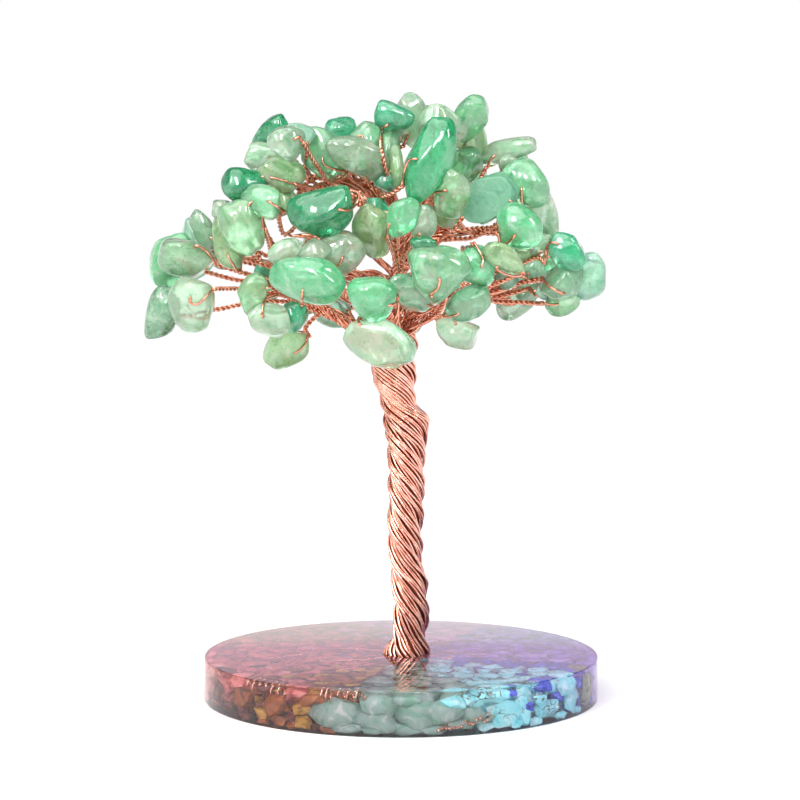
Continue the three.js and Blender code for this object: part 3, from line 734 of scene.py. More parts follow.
def chips_of(name, index):
    """The chips of a clump, the one on the CAD model's twig first."""
    clump = []
    for i, row in enumerate(CLUMPS[name][1]):
        seed = index * 7 + i + 1
        clump.append(chip_at(row, seed, row[5]) if i == 0 else leaning(row, seed, clump))
    return clump


def cube_sphere(cuts):
    """Directions spread over a sphere, as the corners of quads."""
    line = np.tan(np.linspace(-1, 1, cuts + 1) * math.pi / 4)
    u, v = np.meshgrid(line, line, indexing="ij")
    one = np.ones_like(u)
    sheets = [(one, u, v), (-one, v, u), (v, one, u), (u, -one, v), (u, v, one), (v, u, -one)]
    points, faces, known = [], [], {}
    for sheet in sheets:
        grid = np.stack(sheet, axis=-1)
        names = np.empty(u.shape, int)
        for i in range(cuts + 1):
            for j in range(cuts + 1):
                key = tuple(np.round(grid[i, j], 6))
                if key not in known:
                    known[key] = len(points)
                    points.append(grid[i, j])
                names[i, j] = known[key]
        for i in range(cuts):
            for j in range(cuts):
                faces.append((names[i, j], names[i + 1, j], names[i + 1, j + 1], names[i, j + 1]))
    points = np.array(points)
    return points / np.linalg.norm(points, axis=1)[:, None], faces


SPHERE_POINTS, SPHERE_FACES = cube_sphere(CHIP_CUTS)

# The flat frosted face of the chip with that tint: its way and its distance from the middle
FROSTED_FACE = unit(np.array((-0.1, -1.0, 0.2)))
FROSTED_DEPTH = 1.9


def worn_flat(spots, seed, k):
    """A chip's surface with one more soft flat, first on its rim and then on its broad faces."""
    on_rim = k < FLATS_ON_RIM
    around = 2 * math.pi * chance(seed * 3.1 + k)
    rise = 2 * chance(seed * 5.3 + k + 0.5) - 1
    rise = 0.45 * rise if on_rim else math.copysign(0.6 + 0.4 * abs(rise), rise)
    level = math.sqrt(1 - rise * rise)
    facing = np.array((level * math.cos(around), level * math.sin(around), rise))
    distance = 0.7 + 0.2 * chance(seed * 7.7 + k)
    over = spots @ facing - distance
    over = (over + np.sqrt(over ** 2 + FLAT_BLEND)) / 2 - FLAT_START
    depth = RIM_FLAT_DEPTH if on_rim else FACE_FLAT_DEPTH
    return spots - np.clip(over, 0, None)[:, None] * facing * depth


def uneven(spots, seed):
    """A chip's surface with one shallow crease and some slight waves."""
    crease = unit(np.array((chance(seed + 4.1) - 0.5, chance(seed + 4.3) - 0.5, 0.12)))
    off = (spots @ crease - 0.3 * (chance(seed + 4.7) - 0.5)) / CREASE_WIDTH
    spots = spots * (1 - CREASE_DEPTH * chance(seed + 4.9) * np.exp(-off ** 2)[:, None])
    waves = np.sin(spots @ np.array((3.1, 2.3, -2.7)) + seed * 1.7)
    waves += np.sin(spots @ np.array((-2.2, 4.1, 3.4)) + seed * 2.9)
    return spots * (1 + WAVE_HEIGHT * waves[:, None])


def chip_surface(chip, directions):
    """The places on a tumbled chip's surface for some directions in its own frame."""
    seed = chip["seed"]
    power = 2.05 + 0.4 * chance(seed + 0.2)
    spots = directions * (np.abs(directions) ** power).sum(1)[:, None] ** (-1 / power)
    width = 1 - chip["narrowing"] * spots[:, :1]
    spots = np.hstack((spots[:, :1], spots[:, 1:] * width))
    spots[:, 1] += chip["bend"] * (spots[:, 0] ** 2 - 0.35)
    for k in range(FLATS_ON_RIM + FLATS_ON_FACES):
        spots = worn_flat(spots, seed, k)
    spots = (uneven(spots, seed) * (chip["half"] * CHIP_FULLNESS)) @ chip["turn"].T
    if chip["tint"] == "frosted":
        beyond = spots @ FROSTED_FACE - FROSTED_DEPTH
        spots -= np.clip(beyond, 0, None)[:, None] * FROSTED_FACE
    return spots + chip["centre"]


# Materials

def new_material(name):
    """A new material with its nodes, links, shader and the place on the object."""
    material = bpy.data.materials.new(name)
    material.use_nodes = True
    nodes = material.node_tree.nodes
    shader = nodes["Principled BSDF"]
    spot = nodes.new("ShaderNodeTexCoord")
    return material, nodes, material.node_tree.links, shader, spot.outputs["Object"]


def set_inputs(node, values):
    """Plain values on some of a node's inputs."""
    for name, value in values.items():
        node.inputs[name].default_value = value


def noise(nodes, links, spot, scale, detail=4.0, rough=0.55, distortion=0.0):
    """A cloudy value from 0 to 1."""
    texture = nodes.new("ShaderNodeTexNoise")
    set_inputs(texture, {
        "Scale": scale, "Detail": detail, "Roughness": rough, "Distortion": distortion,
    })
    links.new(spot, texture.inputs["Vector"])
    return texture.outputs["Fac"]


def ramp(nodes, links, value, stops):
    """Colours along a value from 0 to 1."""
    node = nodes.new("ShaderNodeValToRGB")
    elements = node.color_ramp.elements
    while len(elements) < len(stops):
        elements.new(0.5)
    for element, (place, colour) in zip(elements, stops):
        element.position = place
        element.color = (*colour, 1.0)
    links.new(value, node.inputs["Fac"])
    return node.outputs["Color"]


def greys(nodes, links, value, *stops):
    """Greys along a value from 0 to 1."""
    return ramp(nodes, links, value, [(place, (grey,) * 3) for place, grey in stops])


def blotched(nodes, links, value, colours, places):
    """Shade, body, body again and light, at four places along a value."""
    shade, body, light = (linear(colour) for colour in colours)
    return ramp(nodes, links, value, list(zip(places, (shade, body, body, light))))


def mixed(nodes, links, share, first, second, way="MIX"):
    """Two colours, mixed by a share. Each of the three is a node's output or a plain value."""
    node = nodes.new("ShaderNodeMix")
    node.data_type = "RGBA"
    node.blend_type = way
    for socket, value in ((node.inputs[0], share), (node.inputs[6], first), (node.inputs[7], second)):
        if isinstance(value, bpy.types.NodeSocket):
            links.new(value, socket)
        elif isinstance(value, tuple):
            socket.default_value = (*value, 1.0)
        else:
            socket.default_value = value
    return node.outputs[2]


def ranged(nodes, links, value, low, high):
    """A value brought from its own range to 0 to 1."""
    node = nodes.new("ShaderNodeMapRange")
    links.new(value, node.inputs["Value"])
    set_inputs(node, {"From Min": low, "From Max": high})
    return node.outputs["Result"]


def bump(nodes, links, shader, height, strength, distance):
    """Fine relief on a shader from a value."""
    node = nodes.new("ShaderNodeBump")
    set_inputs(node, {"Strength": strength, "Distance": distance})
    links.new(height, node.inputs["Height"])
    links.new(node.outputs["Normal"], shader.inputs["Normal"])


def linear(hex_colour):
    """A colour written as in a paint program, in linear light."""
    parts = [int(hex_colour[i:i + 2], 16) / 255 for i in (1, 3, 5)]
    return tuple(p / 12.92 if p <= 0.04045 else ((p + 0.055) / 1.055) ** 2.4 for p in parts)


# Each tint: shade, body and light of the stone, and how clear it is
TINTS = {
    "emerald": ("#199357", "#3dc082", "#86d8aa", 0.62),
    "deep": ("#177c4d", "#2fa36d", "#79c99b", 0.62),
    "teal": ("#299c6c", "#52c594", "#9fdfbe", 0.64),
    "bright": ("#4abf7e", "#80dfa6", "#beedcd", 0.64),
    "mint": ("#65bf89", "#97dfad", "#ceeed1", 0.68),
    "spring": ("#7cc98d", "#ade6b3", "#d7f1d3", 0.68),
    "pale": ("#95cfa3", "#c6e8c7", "#e8f2e1", 0.7),
    "aqua": ("#82ccaa", "#b5e8cd", "#e2f2e4", 0.7),
    "sage": ("#5da77a", "#93cea3", "#c5e3ca", 0.64),
    "olive": ("#7caf73", "#abd69e", "#d5e9c6", 0.64),
    "grey": ("#8fbf9a", "#bcdebe", "#e3eddb", 0.7),
    "streaked": ("#7ca681", "#b6dcb5", "#dfecd7", 0.68),
    "frosted": ("#4c8f70", "#6aa986", "#86bc9c", 0.25),
    "moss": ("#397651", "#7cb38a", "#c2dcc1", 0.62),
}


def green_stone(name, shade, body, light, clear):
    """Tumbled aventurine: cloudy, a little see-through, with dark specks and a hard polish."""
    material, nodes, links, shader, spot = new_material(f"stone_{name}")
    clouds = noise(nodes, links, spot, 190, 6, 0.66, 1.4)
    colour = blotched(nodes, links, clouds, (shade, body, light), (0.34, 0.46, 0.54, 0.66))
    wisps = greys(nodes, links, noise(nodes, links, spot, 420, 5, 0.6, 2.2), (0.52, 0), (0.66, 0.5))
    colour = mixed(nodes, links, wisps, colour, linear(light))
    specks = greys(nodes, links, noise(nodes, links, spot, 1500, 3, 0.6), (0.6, 0), (0.68, 0.8))
    colour = mixed(nodes, links, specks, colour, linear(shade))
    links.new(colour, shader.inputs["Base Color"])
    polish = noise(nodes, links, spot, 300, 4, 0.6)
    dull = 0.35 if name == "frosted" else 0.0
    rough = greys(nodes, links, polish, (0.35, 0.07 + dull), (0.7, 0.2 + dull))
    links.new(rough, shader.inputs["Roughness"])
    set_inputs(shader, {
        "IOR": 1.54,
        "Transmission Weight": clear,
        "Subsurface Weight": 0.3,
        "Subsurface Radius": (0.5, 1.0, 0.7),
        "Subsurface Scale": 0.0015,
        "Coat Weight": 0.0 if dull else 0.5,
        "Coat Roughness": 0.04,
        "Coat IOR": 1.54,
    })
    bump(nodes, links, shader, polish, 0.1, 0.0002)
    return material


def copper(name, dark, middle, bright):
    """Drawn copper wire, a little darker where it was handled."""
    material, nodes, links, shader, spot = new_material(name)
    wear = noise(nodes, links, spot, 700, 4, 0.6, 0.4)
    colour = ramp(nodes, links, wear, [
        (0.25, linear(dark)), (0.5, linear(middle)), (0.8, linear(bright)),
    ])
    links.new(colour, shader.inputs["Base Color"])
    rough = greys(nodes, links, wear, (0.3, 0.14), (0.75, 0.26))
    links.new(rough, shader.inputs["Roughness"])
    set_inputs(shader, {"Metallic": 1.0})
    bump(nodes, links, shader, noise(nodes, links, spot, 5000, 2), 0.08, 0.00005)
    return material


def core_copper_painted_shade():
    """The trunk's core: dark brown copper, painted shade for the gaps between the outer strands."""
    material, nodes, links, shader, spot = new_material("core_copper_painted_shade")
    wear = noise(nodes, links, spot, 500, 3)
    # Painted shade: dark browns that show as the shaded gaps between the trunk's strands.
    colour = ramp(nodes, links, wear, [(0.3, linear("#4e1d13")), (0.7, linear("#823b2a"))])
    links.new(colour, shader.inputs["Base Color"])
    set_inputs(shader, {"Metallic": 0.6, "Roughness": 0.5})
    return material


def clear_resin():
    """Clear cast resin, polished, a little tinted by its stones toward the sides and the back."""
    material, nodes, links, shader, spot = new_material("clear_resin")
    haze = noise(nodes, links, spot, 60, 3, 0.5, 0.3)
    clear = ramp(nodes, links, haze, [(0.3, linear("#f6f1f7")), (0.7, linear("#fcfbfd"))])
    parts = nodes.new("ShaderNodeSeparateXYZ")
    links.new(spot, parts.inputs[0])
    across = ramp(nodes, links, ranged(nodes, links, parts.outputs["X"], -0.04, 0.04), [
        (0.0, linear("#f5c0c2")), (0.45, linear("#f0c8e2")), (1.0, linear("#cdbef2")),
    ])
    behind = ranged(nodes, links, parts.outputs["Y"], -0.034, 0.004)
    colour = mixed(nodes, links, behind, clear, across)
    links.new(colour, shader.inputs["Base Color"])
    set_inputs(shader, {"Roughness": 0.03, "IOR": 1.5, "Transmission Weight": 1.0})
    bump(nodes, links, shader, noise(nodes, links, spot, 45, 2), 0.05, 0.0004)
    return material


def turquoise_veins(nodes, links, spot):
    """A mask of thin veins, here and there."""
    lines = greys(
        nodes, links, noise(nodes, links, spot, 210, 3, 0.5, 1.6),
        (0.475, 0), (0.49, 0.9), (0.51, 0.9), (0.525, 0),
    )
    places = greys(nodes, links, noise(nodes, links, spot, 110, 2), (0.48, 0), (0.56, 1))
    return mixed(nodes, links, 1.0, lines, places, "MULTIPLY")


def crushed_stone(name, shade, body, light, scale, clear):
    """A broken stone: blotches between three colours, and thin dark veins in turquoise."""
    material, nodes, links, shader, spot = new_material(name)
    blotches = noise(nodes, links, spot, scale, 5, 0.62, 1.5)
    colour = blotched(nodes, links, blotches, (shade, body, light), (0.38, 0.47, 0.54, 0.63))
    if name in ("turquoise", "matrix"):
        veins = turquoise_veins(nodes, links, spot)
        colour = mixed(nodes, links, veins, colour, linear("#453420"))
    links.new(colour, shader.inputs["Base Color"])
    set_inputs(shader, {"Roughness": 0.45, "Transmission Weight": clear, "IOR": 1.54})
    bump(nodes, links, shader, blotches, 0.2, 0.0003)
    return material


# The stones cast into the disc: shade, body and light, blotch scale and how clear it is
CRUSHED = {
    "jasper": ("#b2423f", "#e47e78", "#f6b6ac", 180, 0.1),
    "brown_tiger_eye": ("#66300f", "#a05216", "#b86f2c", 260, 0.0),
    "yellow_tiger_eye": ("#845010", "#c88f2a", "#dcae50", 260, 0.0),
    "dark_jasper": ("#40140d", "#68271b", "#883c2a", 260, 0.0),
    "pale_aventurine": ("#86c2a8", "#b6d6ca", "#ecf5f1", 260, 0.4),
    "turquoise": ("#78e4ee", "#a6f3fa", "#d4fbff", 190, 0.0),
    "matrix": ("#4d4232", "#948f7c", "#b8d4c8", 420, 0.0),
    "lapis": ("#1c2ba0", "#3a4cd8", "#7486ee", 330, 0.0),
    "amethyst": ("#9a6cdc", "#c49cf4", "#e8ccfc", 160, 0.2),
    "rose_quartz": ("#d27cc0", "#f0a8da", "#fccdec", 140, 0.1),
}

# The filling: kind, from and to in degrees from the right, and how big its stones are
FILLING = [
    ("jasper", 104, 236, 4.6), ("brown_tiger_eye", 212, 250, 4.0), ("yellow_tiger_eye", 220, 252, 3.0),
    ("pale_aventurine", 246, 292, 5.4), ("turquoise", 289, 334, 4.6), ("lapis", 322, 348, 3.4),
    ("amethyst", 334, 422, 4.8), ("rose_quartz", 58, 112, 4.8),
]

# The stones that show behind the disc's front wall: right of the middle, up from the underside,
# width, height and kind
WALL_STONES = [
    (-34.7, 4.0, 3.8, 4.6, "dark_jasper"), (-29.6, 4.7, 6.4, 3.8, "brown_tiger_eye"),
    (-26.0, 2.0, 3.9, 3.1, "yellow_tiger_eye"), (-23.0, 4.0, 6.0, 4.8, "brown_tiger_eye"),
    (-22.3, 1.4, 4.1, 2.3, "brown_tiger_eye"), (-17.9, 4.3, 4.3, 2.4, "yellow_tiger_eye"),
    (-18.3, 1.5, 3.4, 2.6, "yellow_tiger_eye"), (-16.0, 6.2, 6.4, 2.8, "brown_tiger_eye"),
    (-15.5, 1.0, 3.4, 1.7, "dark_jasper"), (-32.0, 1.6, 4.5, 2.6, "dark_jasper"),
    (-35.5, 6.9, 4.5, 2.8, "jasper"), (-30.5, 7.2, 4.8, 2.0, "jasper"),
    (-25.0, 7.3, 5.0, 1.6, "dark_jasper"), (-19.5, 7.4, 5.2, 1.5, "jasper"),
    (-12.1, 3.1, 10.0, 6.0, "pale_aventurine"), (-4.2, 5.9, 7.6, 4.2, "pale_aventurine"),
    (-5.0, 2.4, 9.4, 4.6, "pale_aventurine"), (2.8, 3.4, 7.6, 6.2, "pale_aventurine"),
    (7.6, 4.6, 7.6, 4.6, "pale_aventurine"), (0.8, 6.9, 5.6, 2.4, "pale_aventurine"),
    (9.8, 6.5, 5.4, 2.6, "turquoise"), (17.0, 6.9, 7.2, 2.4, "turquoise"),
    (13.0, 7.0, 2.8, 2.2, "turquoise"), (13.0, 3.6, 5.6, 3.2, "pale_aventurine"),
    (19.0, 2.8, 6.6, 5.4, "turquoise"), (23.2, 2.3, 3.0, 4.2, "turquoise"),
    (27.2, 2.3, 6.0, 4.4, "turquoise"), (25.8, 5.1, 3.6, 2.8, "turquoise"),
    (31.2, 6.3, 5.2, 3.4, "turquoise"), (31.9, 2.5, 3.8, 4.6, "turquoise"),
    (34.9, 4.4, 4.6, 6.4, "matrix"), (21.5, 5.0, 4.2, 2.8, "turquoise"),
    (26.6, 7.3, 4.2, 1.8, "lapis"), (21.0, 7.2, 1.8, 1.4, "lapis"), (24.2, 4.2, 2.0, 1.8, "lapis"),
    (36.6, 6.6, 3.4, 2.6, "amethyst"), (37.2, 2.6, 3.0, 3.6, "amethyst"),
    (-36.4, 1.2, 4.4, 1.9, "dark_jasper"), (-29.2, 0.9, 4.2, 1.4, "dark_jasper"),
    (-25.8, 0.8, 3.2, 1.2, "brown_tiger_eye"), (-20.4, 0.9, 2.8, 1.4, "brown_tiger_eye"),
    (-13.4, 0.9, 3.4, 1.4, "brown_tiger_eye"), (-10.0, 1.2, 6.4, 2.0, "pale_aventurine"),
    (-4.4, 1.2, 6.6, 2.0, "pale_aventurine"), (0.8, 1.3, 6.2, 2.1, "pale_aventurine"),
    (5.6, 1.2, 5.6, 2.0, "pale_aventurine"), (10.8, 2.2, 5.0, 2.4, "pale_aventurine"),
    (16.0, 1.2, 4.2, 2.0, "turquoise"), (21.4, 0.9, 3.2, 1.5, "turquoise"),
    (24.8, 0.9, 3.4, 1.5, "turquoise"), (30.0, 0.9, 3.6, 1.5, "turquoise"),
    (33.4, 0.9, 2.8, 1.5, "turquoise"),
]


# The rows of flat stones behind the wall where the photo doesn't show it
RIM_STONE = np.array((2.9, 0.9, 1.3))
RIM_ROWS = 3
RIM_ROW_LOW = 1.65
RIM_ROW_PITCH = 2.4
RIM_STONES_PER_DEGREE = 0.15

# The heap of the filling: how often a place is tried, how near the stones lie, and their room
HEAP_TRIES = 900
BOTTOM_TRIES = 260
HEAP_CLOSENESS = 0.78
HEAP_LOW = 0.4
HEAP_SPARE = 1.9

# The flakes that close the heap from below
FLAKE = np.array((1.9, 1.6, 0.3))
FLAKES_PER_DEGREE = 1.3


def hull_of(points):
    """The faces of the closed shape that just holds some points."""
    mesh = bmesh.new()
    for point in points:
        mesh.verts.new(point)
    bmesh.ops.convex_hull(mesh, input=mesh.verts, use_existing_faces=False)
    mesh.verts.index_update()
    spots = np.array([tuple(corner.co) for corner in mesh.verts])
    faces = [tuple(corner.index for corner in face.verts) for face in mesh.faces]
    mesh.free()
    return spots, faces


def crushed_shape(rng, half, worn):
    """A broken stone of some half sizes: sharp, or with its corners worn."""
    count = 24 if worn else 17
    directions = rng.normal(size=(count, 3))
    directions /= np.linalg.norm(directions, axis=1)[:, None]
    boxy = (np.abs(directions) ** 3).sum(1)[:, None] ** (-1 / 3)
    return hull_of(directions * boxy * half * rng.uniform(0.92, 1.08, (count, 1)))


def seal(gathered, rng, half, turn, place, worn=False):
    """A broken stone in the disc. Its height is counted from the disc's underside."""
    shape, faces = crushed_shape(rng, half, worn)
    gathered.add(shape @ turn.T + (np.array(place) - (0, 0, DISC_THICKNESS)), faces)


def wall_stones(kinds, rng, placed):
    """The stones that show behind the front wall."""
    for right, up, width, height, kind in WALL_STONES:
        half = np.array((width / 2, min(width, 4.4) / 2, height / 2)) * 1.06
        out = DISC_RADIUS - 0.7 - half[1]
        around = math.atan2(-math.sqrt(max(out ** 2 - right ** 2, 4.0)), right)
        place = round_middle(out, around, max(up - 0.3, 1.12 * half[2] + 0.05))
        placed.append((np.array(place), max(width, height) / 2))
        turn = turning("z", around + math.pi / 2)
        seal(kinds[kind], rng, half, turn, place, kind == "pale_aventurine")


def rim_stones(gathered, rng, start, end, size):
    """A kind's rows of flat stones behind the side and back of the wall."""
    for k in range(RIM_ROWS * int((end - start) * RIM_STONES_PER_DEGREE)):
        step = k // RIM_ROWS + 0.3 * chance(k * 0.7 + size)
        around = math.radians(start + step / RIM_STONES_PER_DEGREE)
        if math.sin(around) < -0.3:
            continue
        half = RIM_STONE * rng.uniform(0.85, 1.15)
        up = RIM_ROW_LOW + RIM_ROW_PITCH * (k % RIM_ROWS) + 0.3 * chance(k * 1.3)
        place = round_middle(DISC_RADIUS - 0.5 - half[1], around, up)
        seal(gathered, rng, half, turning("z", around + math.pi / 2), place)


def heap(gathered, rng, placed, start, end, size, worn):
    """A kind's stones inside the disc, where there is still room, its bottom first."""
    for tried in range(HEAP_TRIES):
        around = math.radians(rng.uniform(start, end))
        out = (DISC_RADIUS - 0.8 - size / 2) * math.sqrt(rng.uniform(0.02, 1.0))
        shares = rng.uniform(0.8, 1.25), rng.uniform(0.7, 1.0), rng.uniform(0.5, 0.8)
        half = size / 2 * np.array(shares)
        lift = 0.0 if tried < BOTTOM_TRIES else rng.uniform(0, 1)
        up = half[2] + HEAP_LOW + (DISC_THICKNESS - HEAP_SPARE - 2 * half[2]) * lift
        place = np.array(round_middle(out, around, up))
        gaps = [np.linalg.norm((place - other) * (1, 1, 1.3)) - (size / 2 + far) * HEAP_CLOSENESS
                for other, far in placed]
        if min(gaps) < 0:
            continue
        placed.append((place, size / 2))
        turn = turning("z", rng.uniform(0, 6.28)) @ turning("x", rng.uniform(-0.25, 0.25))
        seal(gathered, rng, half, turn, place, worn)


def flakes(gathered, rng, start, end, size):
    """A kind's flakes on the disc's bottom, which stay clear of the front wall."""
    for k in range(int((end - start) * FLAKES_PER_DEGREE)):
        around = math.radians(start + (end - start) * chance(k * 0.37 + size))
        rim = 8.0 if math.sin(around) < -0.2 else 2.4
        out = (DISC_RADIUS - rim) * math.sqrt(chance(k * 0.91 + start))
        half = FLAKE * rng.uniform(0.7, 1.2)
        seal(gathered, rng, half, turning("z", 6.28 * chance(k)), round_middle(out, around, 0.5))


def sealed_stones():
    """All the stones in the disc, a piece for each kind."""
    rng = np.random.default_rng(62)
    kinds = {kind: Gathered() for kind in CRUSHED}
    placed = []
    wall_stones(kinds, rng, placed)
    for kind, start, end, size in FILLING:
        rim_stones(kinds[kind], rng, start, end, size)
        heap(kinds[kind], rng, placed, start, end, size, kind == "pale_aventurine")
    for kind, start, end, size in FILLING:
        flakes(kinds[kind], rng, start, end, size)
    for kind, gathered in kinds.items():
        material = crushed_stone(kind, *CRUSHED[kind])
        gathered.piece(f"sealed_{kind}", [material], "clear_resin", kind == "pale_aventurine")


def disc_piece():
    """The resin disc: polished, with a soft edge."""
    sides = DISC_SIDES
    rings = []
    for corner, start in ((-DISC_THICKNESS + DISC_EDGE_ROUND, -90), (-DISC_EDGE_ROUND, 0)):
        for k in range(6):
            angle = math.radians(start + 90 * k / 5)
            out = DISC_RADIUS - DISC_EDGE_ROUND + DISC_EDGE_ROUND * math.cos(angle)
            rings.append((out, corner + DISC_EDGE_ROUND * math.sin(angle)))
    points = [(0.0, 0.0, -DISC_THICKNESS), (0.0, 0.0, 0.0)]
    for out, up in rings:
        points.extend(round_middle(out, 2 * math.pi * k / sides, up) for k in range(sides))
    faces = []
    top = 2 + (len(rings) - 1) * sides
    for k in range(sides):
        after = (k + 1) % sides
        faces.append((0, 2 + after, 2 + k))
        faces.append((1, top + k, top + after))
        for low in range(2, top, sides):
            faces.append((low + k, low + after, low + sides + after, low + sides + k))
    piece = new_piece("resin_disc", points, faces, [clear_resin()])
    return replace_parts(piece, "resin_base")


# Wire

def limb_path(name):
    """The line that a limb follows."""
    return smooth_path([sighted(*point) for point in LIMBS[name][2]], LIMB_STEP)


def twig_root(limb, centre):
    """A limb's path and directions, and the step where a twig leaves it for its chip."""
    path = limb_path(limb)
    along = path_frames(path)[0]
    costs = {}
    for i in range(len(path) // 4, len(path)):
        across = centre - path[i]
        costs[i] = np.linalg.norm(across) * (1.7 - along[i] @ unit(across))
    return path, along, min(costs, key=costs.get)


def front_of(chip, right, up, way=-1):
    """The place on a chip's near side, or with way 1 its far side, at a place of the layout."""
    surface = chip_surface(chip, SPHERE_POINTS)
    reach = 1 - surface[:, 1] / EYE[1]
    seen = np.stack((
        EYE[0] + (surface[:, 0] - EYE[0]) / reach, EYE[2] + (surface[:, 2] - EYE[2]) / reach,
    ), axis=1)
    apart = np.linalg.norm(seen - (right, up), axis=1)
    nearest = apart.min()
    close = apart < nearest + HOOK_SEARCH
    depths = surface[close, 1]
    depth = depths.min() if way < 0 else depths.max()
    if nearest > HOOK_MISS:
        depth = chip["centre"][1]
    return sighted(right, up, depth + way * HOOK_LIFT)


def usual_hook(chip, toward):
    """A hook for a chip whose own can't be seen: from its edge to a hole a third of the way in."""
    local = chip["turn"].T @ toward
    local[2] = 0
    local = unit(local) if np.linalg.norm(local) > 0.2 else np.array((1.0, 0.0, 0.0))
    near = np.array((0.0, 0.0, 1.0))
    if (chip["turn"] @ near)[1] > 0:
        near = -near
    tracks = []
    for face in (near, -near):
        spots = [local, local * 0.9 + face * 0.45, local * 0.6 + face * 0.8]
        on = chip_surface(chip, np.array([unit(spot) for spot in spots]))
        lifted = zip(on, (0.8, 0.25, 0.15))
        tracks.append([spot + unit(spot - chip["centre"]) * lift for spot, lift in lifted])
    return tracks


def seen_hook(chip, steps):
    """A hook through some places of the layout, from the twig's end to the hole."""
    over = [front_of(chip, right, up) for right, up in steps]
    under = [over[0], front_of(chip, *steps[len(steps) // 2], 1), front_of(chip, *steps[-1], 1)]
    return over, under


def chip_wire(gathered, limb, chip, steps=None, way=None):
    """A chip's twig, and the loop of the same wire through the chip."""
    path, along, i = twig_root(limb, sighted(*way[0]) if way else chip["centre"])
    seed = chip["seed"]
    across = np.linalg.norm(chip["centre"] - path[i])
    bend = path[i] + along[i] * across * 0.35
    if way:
        bend = sighted(*way[-1])
    if steps:
        over, under = seen_hook(chip, steps)
    else:
        over, under = usual_hook(chip, unit(bend - chip["centre"]))
    knot = over[0]
    back = max(0, i - TWIG_ALONGSIDE)
    sway = np.array((chance(seed + 7) - 0.5, chance(seed + 8) - 0.5, chance(seed + 9) - 0.5))
    fan = sway * TWIG_FAN
    route = [path[back] + fan * 0.4, path[(back + i) // 2] + fan * 0.9, path[i] + fan]
    if way:
        route = route[:2] + [sighted(*place) for place in way]
    elif across > 4:
        route.append((path[i] + 2 * bend + knot) / 4 + fan * 0.5)
    route.append(knot)
    twig = smooth_path(route, TWIG_STEP)
    ends = twisted_pair(gathered, twig, 6.28 * chance(seed + 11))
    for end, track in zip(ends, (over, under)):
        inside = track[-1] * 0.7 + chip["centre"] * 0.3
        loop = smooth_path([end] + track[1:] + [inside], 0.26)
        add_strand(gathered, loop, TWIG_RADIUS * 0.95)


def limb_wires(gathered, name, index):
    """The strands of a limb, laid side by side and turned slowly round each other."""
    start, end, _ = LIMBS[name]
    path = limb_path(name)
    along, side, other = path_frames(path)
    share = np.linspace(0, 1, len(path))
    strands = max(4, int(round(start * 4.2)))
    for k in range(strands):
        ring = 0.35 if k % 3 == 0 else 1.0
        radius = ring * np.maximum(start + (end - start) * share - STRAND_RADIUS, 0.2)
        angle = 2 * math.pi * k / strands + share * len(path) * LIMB_STEP * LIMB_TURN + index
        angle = angle + 0.25 * np.sin(share * 9 + k)
        swing = np.cos(angle)[:, None] * side + np.sin(angle)[:, None] * other
        stop = int(len(path) * (0.6 + 0.34 * chance(index * 9 + k)))
        line = path + swing * radius[:, None]
        add_strand(gathered, smooth_path(line[:stop:2], LIMB_STEP), STRAND_RADIUS)


def trunk_strands(gathered):
    """The strands of the trunk, in bundles that wind round it."""
    top = TRUNK[-1][0]
    for k in range(TRUNK_STRANDS):
        around = 2 * math.pi * k / TRUNK_STRANDS
        ridge = math.cos(around * BUNDLES)
        points = []
        low = -ROOT_DEPTH
        high = top - 6 * chance(k + 0.3)
        for step in range(int((high - low) / TRUNK_STEP) + 1):
            up = low + step * TRUNK_STEP
            wander = 0.05 * math.sin(up * 0.35 + k * 2.1) + 0.03 * math.sin(up * 0.9 + k)
            angle = around + trunk_turn(up) + wander
            radius = TRUNK_RADIUS * trunk_at(up, 2) + BUNDLE_RIDGE * ridge - STRAND_RADIUS * 0.6
            radius += 0.16 * math.sin(up * 0.5 + k * 1.9)
            points.append(round_middle(radius, angle, up, trunk_at(up, 1)))
        add_strand(gathered, smooth_path(points, STRAND_STEP), STRAND_RADIUS)


def kink_strands(gathered):
    """The strands that cross the trunk's front below the fork and stand out on its right."""
    for k in range(KINK_STRANDS):
        points = []
        for step in range(25):
            share = step / 24
            around = math.radians(KINK_FROM + KINK_ROUND * share)
            below = KINK_PITCH * k * (0.9 + 0.5 * share)
            up = KINK_TOP - KINK_FALL * share - below - 5 * share ** 4
            radius = TRUNK_RADIUS * trunk_at(up, 2) + 0.25 * math.sin(math.pi * share)
            points.append(round_middle(radius, around, up, trunk_at(up, 1)))
        add_strand(gathered, smooth_path(points, STRAND_STEP), STRAND_RADIUS)


def trunk_core(gathered):
    """The inner strands: a closed tube under the outer ones, in dark copper that is painted shade and shows
    as the dark ground between them.
    """
    top = TRUNK[-1][0] - 9
    sides, steps = 40, 180
    points, faces = [], []
    for i in range(steps + 1):
        up = -ROOT_DEPTH + 0.2 + (top + ROOT_DEPTH) * i / steps
        for j in range(sides):
            around = 2 * math.pi * j / sides
            radius = TRUNK_RADIUS * trunk_at(up, 2) + BUNDLE_RIDGE * math.cos(around * BUNDLES) - CORE_DEPTH
            angle = around + trunk_turn(up)
            points.append(round_middle(radius, angle, up, trunk_at(up, 1)))
    for j in range(sides):
        k = (j + 1) % sides
        for i in range(steps):
            low = i * sides
            faces.append((low + j, low + k, low + sides + k, low + sides + j))
    faces.append(tuple(range(sides))[::-1])
    faces.append(tuple(steps * sides + j for j in range(sides)))
    # Material 1 is the core's dark copper, painted shade between the strands.
    gathered.add(np.array(points), faces, 1)


# The long root wires that show through the top: right, depth and up of each point
LONG_ROOTS = [
    [(-1.5, 1, -0.7), (-11.8, 5.8, -0.7), (-20.6, -0.9, -0.7), (-26.5, -5.3, -0.8)],
    [(0.5, 3, -0.7), (-1.3, 22, -0.7), (-6.8, 30, -0.7), (-11.5, 35, -0.8)],
]

LONG_ROOT_ASIDE = (0.3, 0.8, 0.1)

